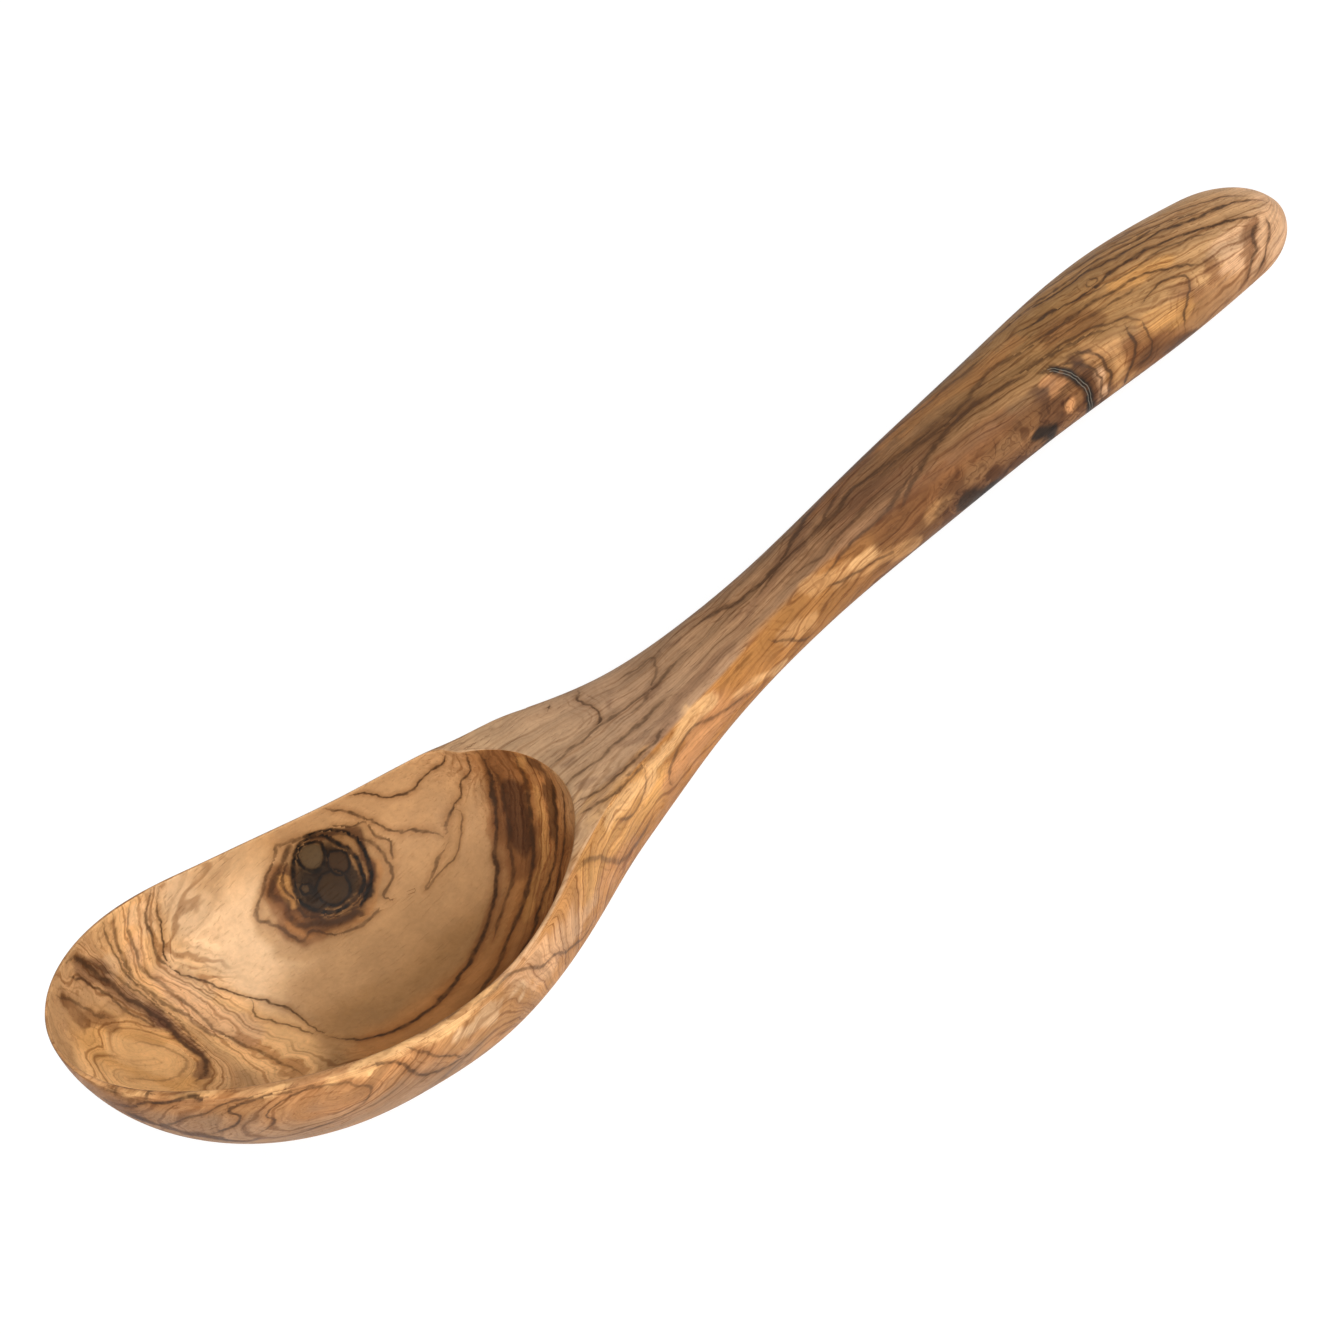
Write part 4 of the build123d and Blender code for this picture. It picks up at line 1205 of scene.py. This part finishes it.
class Recipe:
    """Short ways to add and join the nodes of one material or of the world."""

    def __init__(self, owner, shader_name):
        owner.use_nodes = True
        self.tree = owner.node_tree
        self.shader = self.tree.nodes[shader_name]

    def put(self, socket, value):
        """Sets a socket, or joins it to an output."""
        if isinstance(value, bpy.types.NodeSocket):
            self.tree.links.new(value, socket)
        elif value is not None:
            socket.default_value = value

    def node(self, kind, output, inputs, **settings):
        """Adds a node with its inputs and gives one of its outputs."""
        node = self.tree.nodes.new(kind)
        for name, value in settings.items():
            setattr(node, name, value)
        for key, value in inputs.items():
            self.put(node.inputs[key], value)
        return node.outputs[output]

    def math(self, operation, a, b=None, c=None):
        """One step of arithmetic."""
        return self.node("ShaderNodeMath", 0, {0: a, 1: b, 2: c}, operation=operation)

    def times(self, a, b, plus=None):
        """The product of two values, with a third one added if it is given."""
        return self.math("MULTIPLY", a, b) if plus is None else self.math("MULTIPLY_ADD", a, b, plus)

    def vector(self, operation, a, b=None):
        """One step of arithmetic with vectors."""
        output = "Value" if operation == "LENGTH" else "Vector"
        return self.node("ShaderNodeVectorMath", output, {0: a, 1: b}, operation=operation)

    def noise(self, vector, scale, detail=2.0, roughness=0.5, output="Fac"):
        """Smooth random values over a place."""
        inputs = {"Vector": vector, "Scale": scale, "Detail": detail, "Roughness": roughness}
        return self.node("ShaderNodeTexNoise", output, inputs)

    def read(self, name, output="Vector"):
        """A value that was written onto the skin."""
        return self.node("ShaderNodeAttribute", output, {}, attribute_name=name)

    def split(self, vector):
        """The three parts of a vector."""
        node = self.tree.nodes.new("ShaderNodeSeparateXYZ")
        self.put(node.inputs[0], vector)
        return node.outputs

    def join(self, x, y, z):
        """A vector from its three parts."""
        return self.node("ShaderNodeCombineXYZ", 0, {0: x, 1: y, 2: z})

    def fit(self, value, low, high, to_low=0.0, to_high=1.0, smooth=True):
        """Maps a value from one range to another, held at both ends."""
        kind = "SMOOTHSTEP" if smooth else "LINEAR"
        inputs = {"Value": value, "From Min": low, "From Max": high, "To Min": to_low, "To Max": to_high}
        return self.node("ShaderNodeMapRange", "Result", inputs, interpolation_type=kind)

    def mix(self, share_of_b, a, b, blend="MIX"):
        """Mixes two colours."""
        inputs = {0: share_of_b, 6: a, 7: b}
        return self.node("ShaderNodeMix", 2, inputs, data_type="RGBA", blend_type=blend)

    def seen(self):
        """1 where the camera, a reflection or clear glass sees a thing, and 0 where it lights others."""
        path = self.tree.nodes.new("ShaderNodeLightPath").outputs
        by_way_of_a_thing = self.math("MAXIMUM", path["Is Glossy Ray"], path["Is Transmission Ray"])
        return self.math("MAXIMUM", path["Is Camera Ray"], by_way_of_a_thing)


class SPOON_OT_oil(bpy.types.Operator):
    """Gives the spoon its oiled olive wood"""

    bl_idname = "spoon.oil"
    bl_label = "Oil the Wood"

    def execute(self, context):
        wood = bpy.data.materials.new("oiled_olive_wood")
        recipe, finish = Recipe(wood, "Principled BSDF"), context.scene.spoon_finish
        in_metres = recipe.tree.nodes.new("ShaderNodeTexCoord").outputs["Object"]
        place = recipe.vector("MULTIPLY", in_metres, (1 / MM, 1 / MM, 1 / MM))
        layer, strength, burr = recipe.split(recipe.read("layers"))
        figure = recipe.times(strength, finish.grain)
        bands, streaks, lines, pores = self.grain(recipe, place, layer)
        vein, halo, black, shine = self.veins(recipe, place, strength)

        # The ground is lighter and darker by large mottling, by the bands and by fine specks
        mottle = recipe.noise(place, 0.13, 4.0, 0.6)
        bright = recipe.fit(mottle, 0.3, 0.7, 0.90, 1.10)
        swing = recipe.times(recipe.math("SUBTRACT", bands, 0.5), recipe.times(figure, 0.42))
        bright = recipe.times(bright, recipe.math("ADD", swing, 1.10))
        speck = recipe.fit(recipe.noise(place, 1.1, 3.0, 0.65), 0.3, 0.7, 0.955, 1.045)
        bright = recipe.times(bright, speck)
        ground = recipe.read("ground", "Color")
        colour = recipe.mix(1.0, ground, recipe.join(bright, bright, bright), "MULTIPLY")

        # Each mark of the grain darkens it, and the veins are drawn over them
        darkened = {
            "streaks": recipe.times(recipe.fit(streaks, 0.50, 0.78), figure),
            "lines": recipe.times(lines, figure),
            "pores": recipe.times(pores, recipe.times(figure, 0.6, 0.2)),
            "burr": recipe.times(self.burr(recipe, place), burr),
            "halo": halo,
        }
        for name, mask in darkened.items():
            amount, tint = DARKENING[name]
            darker = recipe.mix(1.0, colour, (*tint, 1), "MULTIPLY")
            colour = recipe.mix(recipe.times(mask, amount), colour, darker)
        ink = recipe.mix(black, (*finish.ink, 1), (*finish.ember, 1))
        colour = recipe.mix(vein, colour, ink)
        # The open crack's edges get a painted highlight
        colour = recipe.mix(shine, colour, (*PAINTED_CRACK_HIGHLIGHT, 1))
        recipe.put(recipe.shader.inputs["Base Color"], colour)

        # The surface is a little duller in some places than in others, and dullest in the pores
        worn = recipe.noise(place, 0.35, 3.0)
        rough = recipe.math("ADD", recipe.fit(worn, 0.3, 0.7, -0.05, 0.06), finish.roughness)
        recipe.put(recipe.shader.inputs["Roughness"], recipe.times(pores, 0.12, rough))
        recipe.shader.inputs["Specular IOR Level"].default_value = finish.gloss
        recipe.shader.inputs["Coat Weight"].default_value = finish.oil
        recipe.shader.inputs["Coat Roughness"].default_value = finish.oil_roughness

        # Sandpaper leaves the dense streaks proud, and the pores and veins low
        height = recipe.times(streaks, 0.5, recipe.times(pores, -0.8))
        height = recipe.times(vein, -0.5, height)
        height = recipe.math("ADD", height, recipe.times(recipe.noise(place, 0.25, 2.0), 0.8))
        bump = {"Strength": 1.0, "Distance": finish.relief, "Height": height}
        recipe.put(recipe.shader.inputs["Normal"], recipe.node("ShaderNodeBump", 0, bump))
        bpy.data.objects[SPOON_NAME].data.materials.append(wood)
        return {"FINISHED"}

    def grain(self, recipe, place, layer):
        """Broad bands, soft streaks, thin growth lines and pores, all following the growth layers."""
        x = recipe.split(place)[0]
        ripple = recipe.noise(recipe.vector("MULTIPLY", place, (0.10, 0.25, 0.25)), 1.0, 2.0)
        loose = recipe.times(ripple, 3.0, layer)
        along = recipe.times(x, 0.03)
        bands = recipe.noise(recipe.join(along, recipe.times(loose, 0.33), 5.0), 1.0, 2.0)
        streaks = recipe.noise(recipe.join(along, recipe.times(loose, 0.95), 0.0), 1.0, 4.0, 0.6)
        thin = recipe.fit(recipe.math("SINE", recipe.times(loose, 3.1)), 0.45, 1.0)
        fine = recipe.fit(recipe.math("SINE", recipe.times(loose, 7.3)), 0.3, 1.0)
        seen = recipe.noise(recipe.join(along, recipe.times(layer, 0.22), 3.0), 1.0, 2.0)
        thin = recipe.times(thin, recipe.fit(seen, 0.38, 0.58))
        lines = recipe.math("MAXIMUM", thin, recipe.times(fine, 0.35))
        dashes = recipe.noise(recipe.vector("MULTIPLY", place, (0.22, 2.6, 2.6)), 1.0, 2.0, 0.6)
        return recipe.fit(bands, 0.32, 0.68), streaks, lines, recipe.fit(dashes, 0.57, 0.71)

    def burr(self, recipe, place):
        """The restless dark mottling of a knot."""
        swirl = recipe.noise(place, 0.22, 2.0, 0.5, "Color")
        swirl = recipe.vector("SUBTRACT", swirl, (0.5, 0.5, 0.5))
        turned = recipe.vector("ADD", place, recipe.vector("MULTIPLY", swirl, (9, 9, 9)))
        lump = recipe.noise(turned, 0.20, 1.5, 0.5)
        from_ridge = recipe.math("ABSOLUTE", recipe.math("SUBTRACT", lump, 0.46))
        ridge = recipe.fit(from_ridge, 0.0, 0.03, 0.8, 0.0)
        return recipe.math("MAXIMUM", ridge, recipe.fit(lump, 0.50, 0.62))

    def veins(self, recipe, place, strength):
        """The dark veins that were drawn on the skin, made ragged as olive wood's are, and the painted
        highlight on the open crack's edges.
        """
        across, past, _ = recipe.split(recipe.read("vein_way"))
        width, dark, kind = recipe.split(recipe.read("vein_about"))
        crack = recipe.fit(kind, 1.4, 1.6)
        brown = recipe.math("SUBTRACT", recipe.fit(kind, 0.4, 0.6), crack)
        drawn_out = recipe.vector("MULTIPLY", place, (0.5, 1, 1))
        coarse, fine = (
            recipe.times(recipe.math("SUBTRACT", recipe.noise(drawn_out, scale, 2.0), 0.5), reach)
            for scale, reach in ((0.24, 2.8), (1.1, 0.7))
        )
        loose = recipe.times(brown, 0.5, 0.5)
        across = recipe.times(recipe.math("ADD", coarse, fine), loose, across)
        away = recipe.vector("LENGTH", recipe.join(across, past, 0.0))
        edge = recipe.times(width, 1.25, 0.12)
        body = recipe.fit(away, recipe.times(width, 0.35), edge, 1.0, 0.0)
        patchy = recipe.fit(recipe.noise(place, 0.6, 2.0), 0.3, 0.6, 0.6, 1.0)
        vein = recipe.times(recipe.times(body, dark), patchy)

        # A brown vein has a soft halo and faint echoes on both sides
        reach = recipe.times(width, 2.2, recipe.times(brown, 0.8, 0.3))
        near = recipe.fit(away, 0.0, reach, 1.0, 0.0)
        echo = recipe.fit(recipe.math("SINE", recipe.times(away, 4.4)), 0.25, 1.0)
        beside = recipe.times(recipe.fit(away, 0.5, 1.2), recipe.fit(away, 1.8, 5.0, 1.0, 0.0))
        seen = recipe.fit(recipe.noise(place, 0.22, 2.0), 0.40, 0.60)
        echo = recipe.times(recipe.times(echo, beside), recipe.times(seen, dark))
        echo = recipe.times(echo, recipe.times(brown, strength))
        halo = recipe.times(recipe.times(near, dark), 0.68)
        halo = recipe.math("ADD", halo, recipe.times(echo, 0.75))

        # A thin painted highlight runs on each side of the crack's middle, where its edges catch the light
        from_line = recipe.math("ABSOLUTE", recipe.math("SUBTRACT", away, 0.30))
        crack_highlight_line = recipe.fit(from_line, 0.0, 0.15, 0.45, 0.0)
        shine = recipe.times(recipe.times(crack_highlight_line, crack), recipe.fit(width, 0.95, 1.2))
        return vein, halo, recipe.math("SUBTRACT", 1.0, brown), shine


class SPOON_OT_stage(bpy.types.Operator):
    """Sets the pale floor, the soft studio light and the camera"""

    bl_idname = "spoon.stage"
    bl_label = "Set the Stage"

    def execute(self, context):
        scene, stage = context.scene, context.scene.spoon_stage
        scene.view_settings.view_transform = "Standard"
        self.lay_floor(scene)
        self.light(scene, stage)
        self.place_camera(scene, stage)
        return {"FINISHED"}

    def lay_floor(self, scene):
        """A pale floor that looks white to the camera and keeps the spoon's shadow."""
        mesh = bpy.data.meshes.new("floor")
        corners = [(-FLOOR_REACH, -FLOOR_REACH, 0), (FLOOR_REACH, -FLOOR_REACH, 0)]
        corners += [(FLOOR_REACH, FLOOR_REACH, 0), (-FLOOR_REACH, FLOOR_REACH, 0)]
        mesh.from_pydata(corners, [], [(0, 1, 2, 3)])
        floor = bpy.data.objects.new("floor", mesh)
        floor.location.z = -FLOOR_GAP
        scene.collection.objects.link(floor)
        mesh.materials.append(self.pale_floor())

    def pale_floor(self):
        """A white that shades softly, and is lifted towards white where it is seen."""
        white = bpy.data.materials.new("pale_floor")
        recipe = Recipe(white, "Principled BSDF")
        recipe.shader.inputs["Base Color"].default_value = grey(FLOOR_SHADE)
        recipe.shader.inputs["Roughness"].default_value = 1.0
        shaded = recipe.node("ShaderNodeBsdfDiffuse", 0, {"Color": grey(FLOOR_SEEN_SHADE)})
        lifted = recipe.node("ShaderNodeEmission", 0, {"Color": grey(1), "Strength": FLOOR_LIFT})
        shown = recipe.node("ShaderNodeAddShader", 0, {0: shaded, 1: lifted})
        inputs = {0: recipe.seen(), 1: recipe.shader.outputs[0], 2: shown}
        surface = recipe.node("ShaderNodeMixShader", 0, inputs)
        recipe.put(recipe.tree.nodes["Material Output"].inputs["Surface"], surface)
        return white

    def light(self, scene, stage):
        """Two large soft lamps on the near side, and a weak sky that is white where it is seen."""
        world = bpy.data.worlds.new("studio")
        scene.world = world
        recipe = Recipe(world, "Background")
        recipe.shader.inputs["Color"].default_value = grey(1)
        strength = recipe.fit(recipe.seen(), 0.0, 1.0, stage.sky_strength, 1.0, smooth=False)
        recipe.put(recipe.shader.inputs["Strength"], strength)
        for name, power in (("key", stage.key_power), ("fill", stage.fill_power)):
            size, distance, azimuth, elevation = LAMPS[name]
            lamp = bpy.data.lights.new(name, "AREA")
            lamp.energy, lamp.size = power, size
            holder = bpy.data.objects.new(name, lamp)
            a, e = math.radians(azimuth), math.radians(elevation)
            level = distance * math.cos(e)
            holder.location = (level * math.cos(a), level * math.sin(a), distance * math.sin(e))
            holder.rotation_euler = (-holder.location).to_track_quat("-Z", "Y").to_euler()
            scene.collection.objects.link(holder)

    def place_camera(self, scene, stage):
        """The camera at the viewing angle of the picture."""
        a, e, r = stage.azimuth, stage.elevation, stage.roll
        back = Vector((math.sin(a) * math.cos(e), -math.cos(a) * math.cos(e), math.sin(e)))
        right = Vector((math.cos(a), math.sin(a), 0))
        up = back.cross(right)
        turned_right = math.cos(r) * right - math.sin(r) * up
        turned_up = math.sin(r) * right + math.cos(r) * up
        aim = Vector((0, 0, stage.aim_height))
        aim -= turned_right * stage.aim_left + turned_up * stage.aim_down
        turned = Matrix((turned_right, turned_up, back)).transposed().to_4x4()
        camera = bpy.data.objects.new("camera", bpy.data.cameras.new("camera"))
        camera.data.lens = stage.lens
        camera.data.sensor_width = SENSOR_WIDTH
        camera.data.clip_start = NEAREST_SEEN
        camera.matrix_world = Matrix.Translation(aim + back * stage.distance) @ turned
        scene.collection.objects.link(camera)
        scene.camera = camera


class VIEW3D_PT_spoon(bpy.types.Panel):
    """The spoon's tools in the sidebar"""

    bl_label = "Olive Wood Spoon"
    bl_space_type = "VIEW_3D"
    bl_region_type = "UI"
    bl_category = "Spoon"

    def draw(self, context):
        for step in (SPOON_OT_carve, SPOON_OT_oil, SPOON_OT_stage):
            self.layout.operator(step.bl_idname)
        for group in (context.scene.spoon_sizes, context.scene.spoon_finish, context.scene.spoon_stage):
            box = self.layout.box()
            for name in group.__annotations__:
                box.prop(group, name)


CLASSES = (
    SpoonSizes, WoodFinish, StageSettings, SPOON_OT_carve, SPOON_OT_oil, SPOON_OT_stage, VIEW3D_PT_spoon
)


def register():
    """Makes the sizes, the operators and the panel known to Blender."""
    for cls in CLASSES:
        bpy.utils.register_class(cls)
    bpy.types.Scene.spoon_sizes = PointerProperty(type=SpoonSizes)
    bpy.types.Scene.spoon_finish = PointerProperty(type=WoodFinish)
    bpy.types.Scene.spoon_stage = PointerProperty(type=StageSettings)


def unregister():
    """Takes everything out of Blender again."""
    del bpy.types.Scene.spoon_sizes, bpy.types.Scene.spoon_finish, bpy.types.Scene.spoon_stage
    for cls in reversed(CLASSES):
        bpy.utils.unregister_class(cls)


def main():
    """Builds everything in order."""
    register()
    bpy.ops.spoon.carve()
    bpy.ops.spoon.oil()
    bpy.ops.spoon.stage()


if __name__ == "__main__":
    main()
